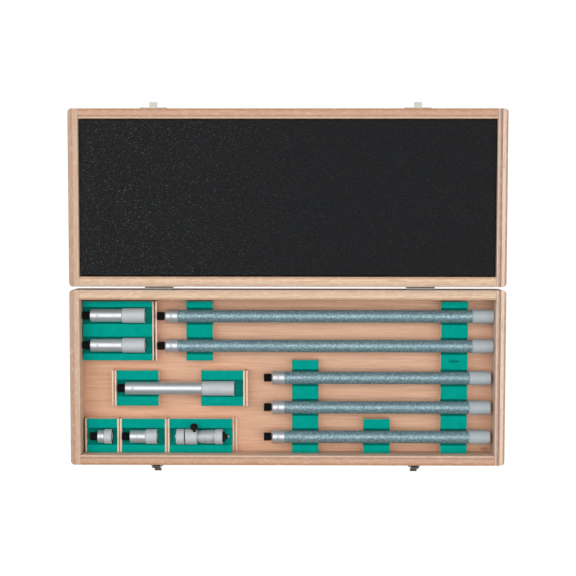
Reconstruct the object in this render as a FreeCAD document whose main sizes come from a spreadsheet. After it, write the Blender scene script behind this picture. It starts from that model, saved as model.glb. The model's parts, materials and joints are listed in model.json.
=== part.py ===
"""Tubular inside micrometer with its extension pipes, lying in an open wooden case.

Frame: X to the right, +Z up, the hinge axis along X at Y = 0, the case base towards -Y
and the open lid towards +Y. Both halves stand on the plane Z = 0. Millimetres.
"""

import FreeCAD, Part
import os
import re

import Sketcher
from FreeCAD import Placement, Rotation, Vector

DRIVING = {
    # Case
    "half_depth": 160.0, "half_height": 26.0, "wall": 9.0, "panel": 4.0,
    "corner_round": 3.5, "half_gap": 1.45, "rim_gap": 0.1,
    # Foam in the lid
    "foam_recess": 3.0, "foam_play": 1.0,
    # Hinges
    "hinge_spacing": 236.0, "hinge_offset": 2.0, "hinge_width": 25.4, "leaf": 0.8,
    "leaf_height": 12.0, "knuckle_dia": 2.7, "hinge_pin_dia": 1.2, "middle_knuckle": 11.3,
    "knuckle_play": 0.15, "hinge_pin_play": 0.05, "hinge_screw_pitch": 16.0,
    "hinge_screw_dia": 1.8, "hinge_head_dia": 3.2, "hinge_screw_length": 6.0,
    "hinge_screw_drop": 7.0,
    # Latches and keepers
    "latch_spacing": 237.0, "latch_offset": -1.8, "latch_width": 22.0,
    "latch_height": 12.0, "latch_top": 4.0, "sheet_steel": 0.8, "pivot_out": 3.2,
    "pivot_drop": 9.0, "ear_inside": 6.8, "ear": 0.6, "ear_height": 3.2, "pivot_dia": 1.4,
    "pivot_play": 0.05, "lever_width": 6.4, "lever_length": 11.5, "thumb_reach": 9.5,
    "thumb_rise": 3.6, "barrel_dia": 3.0, "cheek": 0.7, "cheek_depth": 2.6,
    "bail_wire": 1.1, "bail_width": 9.7, "bail_length": 12.5, "bail_drop": 2.8,
    "bail_play": 0.07, "keeper_width": 24.0, "keeper_height": 7.0, "keeper_drop": 0.8,
    "hook_width": 7.0, "hook_reach": 5.5, "hook_lip": 2.1, "plate_screw_inset": 1.9,
    "plate_screw_dia": 1.8, "plate_head_dia": 3.0, "plate_head": 0.6,
    "plate_screw_length": 6.0,
    # Racks
    "felt": 0.8, "rack_top": 10.0, "groove_bottom": 3.0, "groove_play": 1.4,
    "rack_fit": 0.1, "rack_play": 0.8, "seat": 0.1, "rack_margin": 13.6,
    "wide_margin": 16.4, "plate": 4.2, "thin_plate": 1.4, "low_plate": 2.6,
    "front_shift": 3.5, "middle_rack": 38.6, "middle_gap": 14.8, "tip_room": 0.4,
    # Strips under the long pipes, measured from a pipe's shoulder or collar
    "strip_width": 24.3, "strip_a": 19.3, "strip_b_gap": 1.25, "strip_c": 18.6,
    "strip_d": 84.2,
    # Rows: the room at the two long walls, and what breaks their even pitch
    "back_margin": 15.75, "front_margin": 15.05, "row_break": 2.0, "pair_offset": 0.5,
    "middle_offset": 1.4,
    # Screwed ends, the same on every pipe and on the head
    "nipple_dia": 8.0, "nipple": 7.3, "neck": 1.3, "neck_dia": 6.6, "socket_dia": 8.4,
    "socket": 8.2, "rod_dia": 4.8, "rod_play": 0.15, "rod_recess": 0.9, "edge": 0.4,
    # Long pipes
    "long_pipe": 300.0, "medium_pipe": 200.0, "tube_dia": 11.8, "tube_wall": 0.9,
    "ring_dia": 12.6, "ring": 11.8, "collar_dia": 13.0, "collar": 19.5, "spigot": 5.0,
    "spigot_play": 0.05, "long_end_gap": 0.5, "medium_end_gap": 2.85,
    # Short pipes
    "pipe_a": 13.0, "pipe_b": 25.0, "pipe_c": 50.0, "pipe_d": 100.0, "knurl_a": 6.9,
    "knurl_b": 10.6, "knurl_c": 20.9, "knurl_d": 29.6, "body_dia": 12.0,
    "knurl_dia": 13.6,
    # Room in a rack before each short pipe's nipple and beyond its socket
    "nose_room_a": 3.3, "end_room_a": 4.4, "nose_room_b": 0.6, "end_room_b": 6.7,
    "nose_room_c": 0.2, "end_room_c": 6.2, "nose_room_d": 1.2, "end_room_d": 7.9,
    # Micrometer head, measured from the tip of its fixed contact
    "head_length": 50.0, "head_shift": 4.9, "head_end_room": 2.8, "head_dia": 14.4,
    "contact_dia": 4.2, "contact_reach": 1.7, "contact_pin_dia": 3.0, "cap": 7.3,
    "cap_wall": 1.5, "stub_gap": 0.6, "cap_gap": 0.9, "body": 10.7, "tail_dia": 4.4,
    "spindle_dia": 6.4, "spindle_step": 1.0, "running_fit": 0.08, "sleeve_dia": 10.4,
    "sleeve_gap": 0.5, "sleeve_spigot": 0.6, "nut_seat_dia": 8.4, "nut": 3.8,
    "thimble_dia": 12.6, "thimble_gap": 0.5, "bevel": 6.2, "bevel_edge": 0.2,
    "grip_relief": 0.2, "grip": 6.9, "end_wall": 2.4, "cone_dia": 9.4,
    "cone_tip_dia": 4.2, "cone": 4.9, "cone_rim": 1.5, "nose_dia": 3.2, "dome": 0.5,
    "clamp_place": 18.4, "clamp_tilt": 33.0, "clamp_dia": 3.0, "clamp_play": 0.05,
    "knob_dia": 7.0, "knob": 3.0, "knob_reach": 10.7, "pad_dia": 2.4, "pad": 1.3,
}

document = FreeCAD.newDocument("inside_micrometer")
sheet = document.addObject("Spreadsheet::Sheet", "Sizes")
for line, (word, size) in enumerate(DRIVING.items(), start=1):
    sheet.set(f"A{line}", word)
    sheet.set(f"B{line}", str(size))
    sheet.setAlias(f"B{line}", word)
document.recompute()

nodes = []
X_AXIS, Y_AXIS, Z_AXIS = Vector(1, 0, 0), Vector(0, 1, 0), Vector(0, 0, 1)


# Helpers


def cells(expression):
    """An expression in which each size's word names its cell in the sheet."""
    return re.sub(r"[a-z_]+", lambda word: f"Sizes.{word[0]}" if word[0] in DRIVING else word[0],
                  f"{expression}")


def number(expression):
    """What an expression on the sheet comes to."""
    return float(sheet.evalExpression(cells(expression)))


def place(solid, x=0, y=0, z=0, turn=None):
    """Sets where a solid's own origin lies, with each coordinate bound to the sheet."""
    if turn:
        solid.Placement = Placement(Vector(), turn)
    for axis, expression in zip("xyz", (x, y, z)):
        solid.setExpression(f".Placement.Base.{axis}", cells(expression))
    return solid


def keep(name, solid):
    """Names a finished sub-part, which becomes one node."""
    solid.Label = name
    nodes.append(solid)
    return solid


def origin_plane(body, role):
    return [plane for plane in body.Origin.OriginFeatures if plane.Role == role][0]


def sketch(body, role, outline, domes=()):
    """A closed outline whose corners are bound to the sheet.

    A side whose number is in domes is an arc centred on the sketch's horizontal axis.
    """
    drawing = body.newObject("Sketcher::SketchObject", f"{body.Name}_outline")
    drawing.AttachmentSupport = (origin_plane(body, role), "")
    drawing.MapMode = "FlatFace"
    points = [Vector(number(a), number(b), 0) for a, b in outline]
    ends = []
    for side, start in enumerate(points):
        stop = points[(side + 1) % len(points)]
        if side in domes:
            middle = (start.x**2 + start.y**2 - stop.x**2 - stop.y**2) / (2 * (start.x - stop.x))
            centre = Vector(middle, 0, 0)
            from_angle = X_AXIS.getAngle(start - centre)
            to_angle = X_AXIS.getAngle(stop - centre)
            circle = Part.Circle(centre, Z_AXIS, (start - centre).Length)
            low, high = sorted((from_angle, to_angle))
            arc = drawing.addGeometry(Part.ArcOfCircle(circle, low, high), False)
            drawing.addConstraint(Sketcher.Constraint("PointOnObject", arc, 3, -1))
            ends.append((arc, 1, 2) if from_angle < to_angle else (arc, 2, 1))
        else:
            ends.append((drawing.addGeometry(Part.LineSegment(start, stop), False), 1, 2))
    for side, (edge, first, _) in enumerate(ends):
        before, _, last = ends[side - 1]
        drawing.addConstraint(Sketcher.Constraint("Coincident", before, last, edge, first))
        for kind, expression, size in zip(("DistanceX", "DistanceY"), outline[side],
                                          (points[side].x, points[side].y)):
            bound = drawing.addConstraint(Sketcher.Constraint(kind, -1, 1, edge, first, size))
            drawing.setExpression(f"Constraints[{bound}]", cells(expression))
    return drawing


def turned(name, outline, domes=()):
    """A piece turned about its own X axis, from (distance, radius) corners."""
    body = document.addObject("PartDesign::Body", name)
    profile = sketch(body, "XY_Plane", outline, domes)
    spin = body.newObject("PartDesign::Revolution", f"{name}_turning")
    spin.Profile = profile
    spin.ReferenceAxis = (profile, ["H_Axis"])
    spin.Angle = 360
    return body


def pressed(name, outline, width):
    """A piece of one section, from (y, z) corners, centred on the plane x = 0."""
    body = document.addObject("PartDesign::Body", name)
    pad = body.newObject("PartDesign::Pad", f"{name}_pad")
    pad.Profile = sketch(body, "YZ_Plane", outline)
    pad.setExpression("Length", cells(width))
    pad.Midplane = True
    return body


def board(name, x, y, z, rounded=()):
    """A board between bounds in x, y and z, its upright edges rounded at the named sides."""
    body = document.addObject("PartDesign::Body", name)
    pad = body.newObject("PartDesign::Pad", f"{name}_pad")
    pad.Profile = sketch(body, "XY_Plane", [(x[0], y[0]), (x[1], y[0]), (x[1], y[1]), (x[0], y[1])])
    pad.setExpression("Length", cells(f"({z[1]}) - ({z[0]})"))
    place(body, z=z[0])
    if rounded:
        document.recompute()
        sides = [number(x[side]) for side in rounded]
        corners = [f"Edge{count}" for count, edge in enumerate(pad.Shape.Edges, start=1)
                   if edge.BoundBox.ZLength > edge.BoundBox.XLength + edge.BoundBox.YLength
                   and any(round(edge.CenterOfMass.x - side, 3) == 0 for side in sides)]
        fillet = body.newObject("PartDesign::Fillet", f"{name}_corners")
        fillet.Base = (pad, corners)
        fillet.setExpression("Radius", cells("corner_round"))
        body.Tip = fillet
    return body


def block(name, x, y, z):
    """A plain box between bounds in x, y and z."""
    solid = document.addObject("Part::Box", name)
    for side, bounds in zip(("Length", "Width", "Height"), (x, y, z)):
        solid.setExpression(side, cells(f"({bounds[1]}) - ({bounds[0]})"))
    return place(solid, x[0], y[0], z[0])


def rod_along_x(name, x, y, z, diameter):
    """A cylinder along X, with x the bounds of its length."""
    solid = document.addObject("Part::Cylinder", name)
    solid.setExpression("Radius", cells(f"({diameter}) / 2"))
    solid.setExpression("Height", cells(f"({x[1]}) - ({x[0]})"))
    return place(solid, x[0], y, z, Rotation(Y_AXIS, 90))


def upright_rod(name, x, y, z, diameter):
    """A cylinder along Z, with z the bounds of its length."""
    solid = document.addObject("Part::Cylinder", name)
    solid.setExpression("Radius", cells(f"({diameter}) / 2"))
    solid.setExpression("Height", cells(f"({z[1]}) - ({z[0]})"))
    return place(solid, x, y, z[0])


def fused(name, solids):
    """The union of the solids, or the solid itself where there is only one."""
    if len(solids) == 1:
        return solids[0]
    union = document.addObject("Part::MultiFuse", name)
    union.Shapes = solids
    return union


def cut(name, solid, tool):
    difference = document.addObject("Part::Cut", name)
    difference.Base = solid
    difference.Tool = tool
    return difference


def group(name, solids):
    """Like pieces that share one node, each its own solid."""
    compound = document.addObject("Part::Compound", name)
    compound.Links = solids
    return keep(name, compound)


# Places that many pieces share

RACK_A = "(nipple + nose_room_a + pipe_a + end_room_a)"
RACK_B = "(nipple + nose_room_b + pipe_b + end_room_b)"
RACK_C = "(nipple + nose_room_c + pipe_c + end_room_c)"
RACK_D = "(nipple + nose_room_d + pipe_d + end_room_d)"
HEAD_RACK = "(head_shift + head_length + head_end_room)"
BACK_ROW = f"(rack_play + {RACK_C} + rack_fit + plate + tip_room + nipple + long_pipe + long_end_gap)"
FRONT_ROW = (f"(front_shift + {RACK_A} + {RACK_B} + {HEAD_RACK} + 3 * plate + 5 * rack_fit"
             " + tip_room + nipple + medium_pipe + medium_end_gap)")
INNER_X = f"(max({BACK_ROW}; {FRONT_ROW}) / 2)"
OUTER_X = f"({INNER_X} + wall)"
LONG_START = f"({INNER_X} - long_end_gap - long_pipe)"
MEDIUM_START = f"({INNER_X} - medium_end_gap - medium_pipe)"
OUTER_Y = "(half_gap + half_depth)"
BACK_WALL = "(half_gap + wall)"
FRONT_WALL = "(half_gap + half_depth - wall)"
PITCH = f"(({FRONT_WALL} - {BACK_WALL} - back_margin - front_margin - row_break) / 4)"
ROW_ONE = f"({BACK_WALL} + back_margin)"
ROW_TWO = f"({ROW_ONE} + {PITCH})"
ROW_THREE = f"({ROW_TWO} + {PITCH} + row_break)"
ROW_FOUR = f"({ROW_THREE} + {PITCH})"
ROW_FIVE = f"({FRONT_WALL} - front_margin)"
PAIR_ROWS = (f"({ROW_ONE} - pair_offset)", f"({ROW_TWO} - pair_offset)")
MIDDLE_ROW = f"(({ROW_TWO} + rack_margin + {ROW_FIVE} - wide_margin) / 2 - middle_offset)"
HINGE_Z = "(half_height + rim_gap)"
GROOVE_DIA = "(head_dia + groove_play)"
GROOVE_Z = "(panel + groove_bottom)"
FELT_TOP = "(panel + rack_top)"
LONG_AXIS = f"({GROOVE_Z} + seat + tube_dia / 2)"
SHORT_AXIS = f"({GROOVE_Z} + seat + knurl_dia / 2)"
HEAD_AXIS = f"({GROOVE_Z} + seat + head_dia / 2)"
SIDES = (("left", -1), ("right", 1))


# Case


def case_half(half, sign):
    """Four boards on a panel; sign is -1 for the base and +1 for the lid."""
    def depth(near, far):
        bounds = (f"{sign} * {near}", f"{sign} * {far}")
        return bounds if sign > 0 else bounds[::-1]

    whole = depth("half_gap", OUTER_Y)
    height = ("panel", "half_height")
    panel = "base_floor" if sign < 0 else "lid_panel"
    keep(panel, board(panel, (f"-{OUTER_X}", OUTER_X), whole, (0, "panel"), (0, 1)))
    keep(f"{half}_left_end",
         board(f"{half}_left_end", (f"-{OUTER_X}", f"-{INNER_X}"), whole, height, (0,)))
    keep(f"{half}_right_end",
         board(f"{half}_right_end", (INNER_X, OUTER_X), whole, height, (1,)))
    for name, span in (("back", depth("half_gap", BACK_WALL)), ("front", depth(FRONT_WALL, OUTER_Y))):
        keep(f"{half}_{name}_board",
             board(f"{half}_{name}_board", (f"-{INNER_X}", INNER_X), span, height))


def lid_foam():
    across = (f"-{INNER_X} + foam_play", f"{INNER_X} - foam_play")
    along = (f"{BACK_WALL} + foam_play", f"{FRONT_WALL} - foam_play")
    keep("lid_foam", board("lid_foam", across, along, ("panel", "half_height - foam_recess")))


# Hinges


def hinge_screw(name, x, sign):
    """A countersunk wood screw, its head flush in the leaf."""
    sunk = "(hinge_head_dia - hinge_screw_dia) / 2"
    screw = turned(name, [(0, 0), (0, "hinge_head_dia / 2"), (sunk, "hinge_screw_dia / 2"),
                          ("hinge_screw_length", "hinge_screw_dia / 2"),
                          ("hinge_screw_length", 0)])
    return place(screw, x, f"{sign} * (half_gap - leaf)", "half_height - hinge_screw_drop",
                 Rotation(X_AXIS, Vector(0, sign, 0)))


def hinge_leaf(name, middle, sign):
    """A leaf with its knuckles: the outer two on the base, the middle one on the lid."""
    end = "hinge_width / 2"
    centre = "middle_knuckle / 2"
    free = "half_height - knuckle_dia / 2 - knuckle_play"
    spans = [(f"{middle} - {centre}", f"{middle} + {centre}")]
    if sign < 0:
        spans = [(f"{middle} - {end}", f"{middle} - {centre} - knuckle_play"),
                 (f"{middle} + {centre} + knuckle_play", f"{middle} + {end}")]
    thickness = [f"{sign} * half_gap", f"{sign} * (half_gap - leaf)"][::-sign]
    solids = [block(f"{name}_flat", (f"{middle} - {end}", f"{middle} + {end}"), thickness,
                    ("half_height - leaf_height", free))]
    tools = []
    for count, span in enumerate(spans):
        solids += [block(f"{name}_strap_{count}", span, thickness, (free, HINGE_Z)),
                   rod_along_x(f"{name}_knuckle_{count}", span, 0, HINGE_Z, "knuckle_dia")]
        tools.append(rod_along_x(f"{name}_bore_{count}", span, 0, HINGE_Z,
                                 "hinge_pin_dia + 2 * hinge_pin_play"))
    for side in (-1, 1):
        tools.append(hinge_screw(f"{name}_sink_{side + 1}",
                                 f"{middle} + {side} * hinge_screw_pitch / 2", sign))
    return cut(name, fused(f"{name}_whole", solids), fused(f"{name}_holes", tools))


def hinges():
    middles = [f"{sign} * hinge_spacing / 2 + hinge_offset" for _, sign in SIDES]
    for half, sign in (("base", -1), ("lid", 1)):
        group(f"{half}_hinge_leaves",
              [hinge_leaf(f"{half}_leaf_{count}", middle, sign)
               for count, middle in enumerate(middles)])
        group(f"{half}_hinge_screws",
              [hinge_screw(f"{half}_hinge_screw_{count}_{side + 1}",
                           f"{middle} + {side} * hinge_screw_pitch / 2", sign)
               for count, middle in enumerate(middles) for side in (-1, 1)])
    group("hinge_pins",
          [rod_along_x(f"hinge_pin_{count}",
                       (f"{middle} - hinge_width / 2", f"{middle} + hinge_width / 2"),
                       0, HINGE_Z, "hinge_pin_dia")
           for count, middle in enumerate(middles)])


# Latches on the base, keepers on the lid

PIVOT_Y = f"(-{OUTER_Y} - pivot_out)"
PIVOT_Z = "(half_height - pivot_drop)"
BAIL_Z = f"({PIVOT_Z} - bail_drop)"


def plate_screw(name, x, sign, z):
    """A round-headed screw whose head stands on a plate of sheet steel."""
    screw = turned(name, [("-plate_head", 0), ("-plate_head", "plate_head_dia / 2 - plate_head"),
                          (0, "plate_head_dia / 2"), (0, "plate_screw_dia / 2"),
                          ("plate_screw_length", "plate_screw_dia / 2"),
                          ("plate_screw_length", 0)])
    return place(screw, x, f"{sign} * ({OUTER_Y} + sheet_steel)", z,
                 Rotation(X_AXIS, Vector(0, -sign, 0)))


def latch_plate(name, x):
    plate = block(f"{name}_flat", (f"{x} - latch_width / 2", f"{x} + latch_width / 2"),
                  (f"-{OUTER_Y} - sheet_steel", f"-{OUTER_Y}"),
                  ("half_height - latch_top - latch_height", "half_height - latch_top"))
    solids, tools = [plate], []
    for side in (-1, 1):
        near, far = "(ear_inside / 2)", "(ear_inside / 2 + ear)"
        span = (f"{x} + {near}", f"{x} + {far}") if side > 0 else (f"{x} - {far}", f"{x} - {near}")
        solids += [block(f"{name}_ear_{side + 1}", span, (PIVOT_Y, f"-{OUTER_Y}"),
                         (f"{PIVOT_Z} - ear_height / 2", f"{PIVOT_Z} + ear_height / 2")),
                   rod_along_x(f"{name}_ear_end_{side + 1}", span, PIVOT_Y, PIVOT_Z, "ear_height")]
        tools.append(rod_along_x(f"{name}_hole_{side + 1}", span, PIVOT_Y, PIVOT_Z,
                                 "pivot_dia + 2 * pivot_play"))
    return cut(name, fused(f"{name}_whole", solids), fused(f"{name}_holes", tools))


def latch_lever(name, x):
    """A rolled barrel on the pivot, two cheeks that hold the bail, and a curled thumb piece."""
    front = f"{PIVOT_Y} - barrel_dia / 2"
    lower = f"{PIVOT_Z} - lever_length"
    tip = f"-{OUTER_Y} - thumb_reach"
    fold = f"{lower} + thumb_rise"
    thumb = pressed(f"{name}_thumb",
                    [(front, PIVOT_Z), (f"{front} + sheet_steel", PIVOT_Z),
                     (f"{front} + sheet_steel", fold),
                     (f"{tip} + sheet_steel", lower), (tip, f"{lower} + sheet_steel / 2"),
                     (front, f"{fold} + sheet_steel / 2")], "lever_width")
    place(thumb, x)
    solids = [thumb, rod_along_x(f"{name}_barrel", (f"{x} - lever_width / 2", f"{x} + lever_width / 2"),
                                 PIVOT_Y, PIVOT_Z, "barrel_dia")]
    for side in (-1, 1):
        near, far = "(lever_width / 2 - cheek)", "(lever_width / 2)"
        span = (f"{x} + {near}", f"{x} + {far}") if side > 0 else (f"{x} - {far}", f"{x} - {near}")
        solids.append(block(f"{name}_cheek_{side + 1}", span, (front, f"{front} + cheek_depth"),
                            (f"{BAIL_Z} - bail_wire", PIVOT_Z)))
    whole = (f"{x} - lever_width / 2", f"{x} + lever_width / 2")
    holes = fused(f"{name}_holes", [
        rod_along_x(f"{name}_bore", whole, PIVOT_Y, PIVOT_Z, "pivot_dia + 2 * pivot_play"),
        rod_along_x(f"{name}_bail_hole", whole, PIVOT_Y, BAIL_Z, "bail_wire + 2 * bail_play")])
    return keep(name, cut(name, fused(f"{name}_whole", solids), holes))


def latch_bail(name, x):
    """A wire loop whose two ends turn inwards into the lever's cheeks."""
    foot = f"({BAIL_Z} - bail_length)"
    solids = [rod_along_x(f"{name}_foot", (f"{x} - bail_width / 2", f"{x} + bail_width / 2"),
                          PIVOT_Y, foot, "bail_wire")]
    for side in (-1, 1):
        leg = f"{x} + {side} * bail_width / 2"
        inner = f"{x} + {side} * (lever_width / 2 - cheek)"
        span = (inner, leg) if side > 0 else (leg, inner)
        solids += [upright_rod(f"{name}_leg_{side + 1}", leg, PIVOT_Y, (foot, BAIL_Z), "bail_wire"),
                   rod_along_x(f"{name}_end_{side + 1}", span, PIVOT_Y, BAIL_Z, "bail_wire")]
        for level, height in enumerate((foot, BAIL_Z)):
            ball = document.addObject("Part::Sphere", f"{name}_bend_{side + 1}_{level}")
            ball.setExpression("Radius", cells("bail_wire / 2"))
            solids.append(place(ball, leg, PIVOT_Y, height))
    return keep(name, fused(name, solids))


def keeper(name, x):
    """A plate with a hook that catches the bail when the case is shut."""
    top = "half_height - keeper_drop"
    flat = block(f"{name}_flat", (f"{x} - keeper_width / 2", f"{x} + keeper_width / 2"),
                 (OUTER_Y, f"{OUTER_Y} + sheet_steel"), (f"{top} - keeper_height", top))
    hook = pressed(f"{name}_hook",
                   [(OUTER_Y, f"{top} - sheet_steel"), (OUTER_Y, top),
                    (f"{OUTER_Y} + hook_reach", top),
                    (f"{OUTER_Y} + hook_reach", f"{top} - hook_lip"),
                    (f"{OUTER_Y} + hook_reach - sheet_steel", f"{top} - hook_lip"),
                    (f"{OUTER_Y} + hook_reach - sheet_steel", f"{top} - sheet_steel")],
                   "hook_width")
    place(hook, x)
    return fused(name, [flat, hook])


def latches():
    middles = [(side, f"{sign} * latch_spacing / 2 + latch_offset") for side, sign in SIDES]
    screw_z = "half_height - latch_top - latch_height / 2"
    group("latch_plates", [latch_plate(f"{side}_latch_plate", x) for side, x in middles])
    pin = "(ear_inside / 2 + ear)"
    group("latch_pins", [rod_along_x(f"{side}_latch_pin", (f"{x} - {pin}", f"{x} + {pin}"),
                                     PIVOT_Y, PIVOT_Z, "pivot_dia") for side, x in middles])
    group("latch_screws", [
        plate_screw(f"{side}_latch_screw_{end + 1}",
                    f"{x} + {end} * (latch_width / 2 - plate_screw_inset)", -1, screw_z)
        for side, x in middles for end in (-1, 1)])
    for side, x in middles:
        latch_lever(f"{side}_latch_lever", x)
        latch_bail(f"{side}_latch_bail", x)
    group("lid_keepers", [keeper(f"{side}_keeper", x) for side, x in middles])
    group("keeper_screws", [
        plate_screw(f"{side}_keeper_screw_{end + 1}",
                    f"{x} + {end} * (keeper_width / 2 - plate_screw_inset)", 1,
                    "half_height - keeper_drop - keeper_height / 2")
        for side, x in middles for end in (-1, 1)])


# Racks

PAIR_X = f"(-{INNER_X} + rack_play)"
PAIR_END = f"({PAIR_X} + {RACK_C})"
MIDDLE_END = f"({MEDIUM_START} - nipple - middle_gap - plate - rack_fit)"
MIDDLE_X = f"({MIDDLE_END} - {RACK_D})"
FRONT_X = f"(-{INNER_X} + front_shift)"
FRONT_B = f"({FRONT_X} + {RACK_A} + plate + 2 * rack_fit)"
FRONT_C = f"({FRONT_B} + {RACK_B} + plate + 2 * rack_fit)"
FRONT_END = f"({FRONT_C} + {HEAD_RACK})"
RACK_BACK = f"(-{ROW_ONE} + rack_margin)"
FRONT_EDGE = f"(-{FRONT_WALL} + rack_fit)"
BACK_SPAN = (f"(-{ROW_TWO} - rack_margin)", RACK_BACK)
MIDDLE_SPAN = (f"(-{MIDDLE_ROW} - wide_margin)", f"(-{MIDDLE_ROW} + wide_margin)")
FRONT_SPAN = (FRONT_EDGE, f"(-{ROW_FIVE} + wide_margin)")


def grooves(name, x, rows, dia):
    """The round-bottomed channels under the rows, deeper than their half width."""
    return fused(name, [rod_along_x(f"{name}_{count}", x, f"-{row}", f"{GROOVE_Z} + {GROOVE_DIA} / 2", dia)
                        for count, row in enumerate(rows)])


def rack(name, x, y, rows):
    """A wooden block with a channel for each row, and the felt that lines it."""
    wood_dia = f"{GROOVE_DIA} + 2 * felt"
    wood_top = f"{FELT_TOP} - felt"
    wood = cut(f"{name}_wood", block(f"{name}_blank", x, y, ("panel", wood_top)),
               grooves(f"{name}_channels", x, rows, wood_dia))
    cover = block(f"{name}_cover", x, y, (wood_top, FELT_TOP))
    below = document.addObject("Part::MultiCommon", f"{name}_lining_below")
    below.Shapes = [block(f"{name}_under", x, y, ("panel", wood_top)),
                    grooves(f"{name}_linings", x, rows, wood_dia)]
    felt = cut(f"{name}_felt", fused(f"{name}_felt_whole", [cover, below]),
               grooves(f"{name}_hollows", x, rows, GROOVE_DIA))
    return wood, felt


def racks():
    def strip(start):
        return (start, f"{start} + strip_width")

    front_rows = (ROW_THREE, ROW_FOUR, ROW_FIVE)
    collar_start = f"{INNER_X} - medium_end_gap - collar"
    long_racks = [
        rack("strip_a", strip(f"{LONG_START} + strip_a"), BACK_SPAN, (ROW_ONE, ROW_TWO)),
        rack("strip_b", strip(f"{collar_start} - strip_b_gap - strip_width"), (FRONT_EDGE, RACK_BACK),
             (ROW_ONE, ROW_TWO, *front_rows)),
        rack("strip_c", strip(f"{MEDIUM_START} + strip_c"), (FRONT_EDGE, f"-{ROW_THREE} + wide_margin"),
             front_rows),
        rack("strip_d", strip(f"{MEDIUM_START} + strip_d"), FRONT_SPAN, (ROW_FIVE,)),
    ]
    pair = [rack("pair_rack", (PAIR_X, PAIR_END), BACK_SPAN, PAIR_ROWS)]
    middle = [rack(f"middle_rack_{count}", span, MIDDLE_SPAN, (MIDDLE_ROW,))
              for count, span in enumerate(((MIDDLE_X, f"{MIDDLE_X} + middle_rack"),
                                            (f"{MIDDLE_END} - middle_rack", MIDDLE_END)))]
    front = [rack(f"front_rack_{count}", span, FRONT_SPAN, (ROW_FIVE,))
             for count, span in enumerate(((FRONT_X, f"{FRONT_X} + {RACK_A}"),
                                           (FRONT_B, f"{FRONT_B} + {RACK_B}"),
                                           (FRONT_C, FRONT_END)))]
    group("long_rack_blocks", [wood for wood, _ in long_racks])
    group("long_rack_felts", [felt for _, felt in long_racks])
    group("pair_rack_block", [wood for wood, _ in pair])
    group("middle_rack_blocks", [wood for wood, _ in middle])
    group("front_rack_blocks", [wood for wood, _ in front])
    group("short_rack_felts", [felt for _, felt in pair + middle + front])


def rack_plates():
    """The upright plates at the ends of the short racks.

    The last one, beyond the head, stays below the path of the spindle and thimble.
    """
    full = ("panel", FELT_TOP)
    low = ("panel", "panel + low_plate")

    def before(start, thickness):
        return (f"{start} - rack_fit - {thickness}", f"{start} - rack_fit")

    def beyond(end):
        return (f"{end} + rack_fit", f"{end} + rack_fit + plate")

    bounds = [
        (beyond(PAIR_END), BACK_SPAN, full),
        (before(MIDDLE_X, "plate"), MIDDLE_SPAN, full),
        (beyond(MIDDLE_END), MIDDLE_SPAN, full),
        (before(FRONT_X, "thin_plate"), FRONT_SPAN, full),
        (before(FRONT_B, "plate"), FRONT_SPAN, full),
        (before(FRONT_C, "plate"), FRONT_SPAN, full),
        (beyond(FRONT_END), FRONT_SPAN, low),
    ]
    group("rack_plates", [block(f"rack_plate_{count}", *bound)
                          for count, bound in enumerate(bounds)])


# Pipes, each measured from the shoulder that its nominal length starts at

BORE = "(rod_dia / 2 + rod_play)"
NIPPLE = [("-nipple", BORE), ("-nipple", "nipple_dia / 2 - edge"),
          ("edge - nipple", "nipple_dia / 2"), ("-neck", "nipple_dia / 2"),
          ("-neck", "neck_dia / 2"), (0, "neck_dia / 2")]


def socket_end(length, radius):
    """The right-hand end of a piece, with its threaded hole."""
    return [(f"{length} - edge", radius), (length, f"{radius} - edge"),
            (length, "socket_dia / 2"), (f"{length} - socket", "socket_dia / 2"),
            (f"{length} - socket", BORE)]


def gauge_rod(name, length, x, y, z):
    """The measuring rod inside a pipe, as long as the pipe and with bevelled ends."""
    start = "rod_recess - nipple"
    stop = f"{start} + {length}"
    rod = turned(name, [(start, 0), (start, "rod_dia / 2 - edge"), (f"{start} + edge", "rod_dia / 2"),
                        (f"{stop} - edge", "rod_dia / 2"), (stop, "rod_dia / 2 - edge"), (stop, 0)])
    return place(rod, x, y, z)


def long_pipes():
    inside = "(tube_dia / 2 - tube_wall - spigot_play)"
    rings, collars, rods = [], [], []
    for word, size, start, row in (("one", "long_pipe", LONG_START, ROW_ONE),
                                   ("two", "long_pipe", LONG_START, ROW_TWO),
                                   ("three", "medium_pipe", MEDIUM_START, ROW_THREE),
                                   ("four", "medium_pipe", MEDIUM_START, ROW_FOUR),
                                   ("five", "medium_pipe", MEDIUM_START, ROW_FIVE)):
        spot = (start, f"-{row}", LONG_AXIS)
        mouth = f"{size} - collar"
        ring = turned(f"pipe_ring_{word}", NIPPLE + [
            (0, "ring_dia / 2 - edge"), ("edge", "ring_dia / 2"), ("ring", "ring_dia / 2"),
            ("ring", inside), ("ring + spigot", inside), ("ring + spigot", BORE)])
        collar = turned(f"pipe_collar_{word}", [
            (f"{mouth} - spigot", BORE), (f"{mouth} - spigot", inside), (mouth, inside),
            (mouth, "collar_dia / 2 - edge"), (f"{mouth} + edge", "collar_dia / 2"),
            *socket_end(size, "collar_dia / 2")])
        tube = turned(f"pipe_tube_{word}", [
            ("ring", "tube_dia / 2 - tube_wall"), ("ring", "tube_dia / 2"),
            (mouth, "tube_dia / 2"), (mouth, "tube_dia / 2 - tube_wall")])
        rings.append(place(ring, *spot))
        collars.append(place(collar, *spot))
        keep(f"pipe_tube_{word}", place(tube, *spot))
        rods.append(gauge_rod(f"long_rod_{word}", size, *spot))
    group("pipe_rings", rings)
    group("pipe_collars", collars)
    group("long_gauge_rods", rods)


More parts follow.
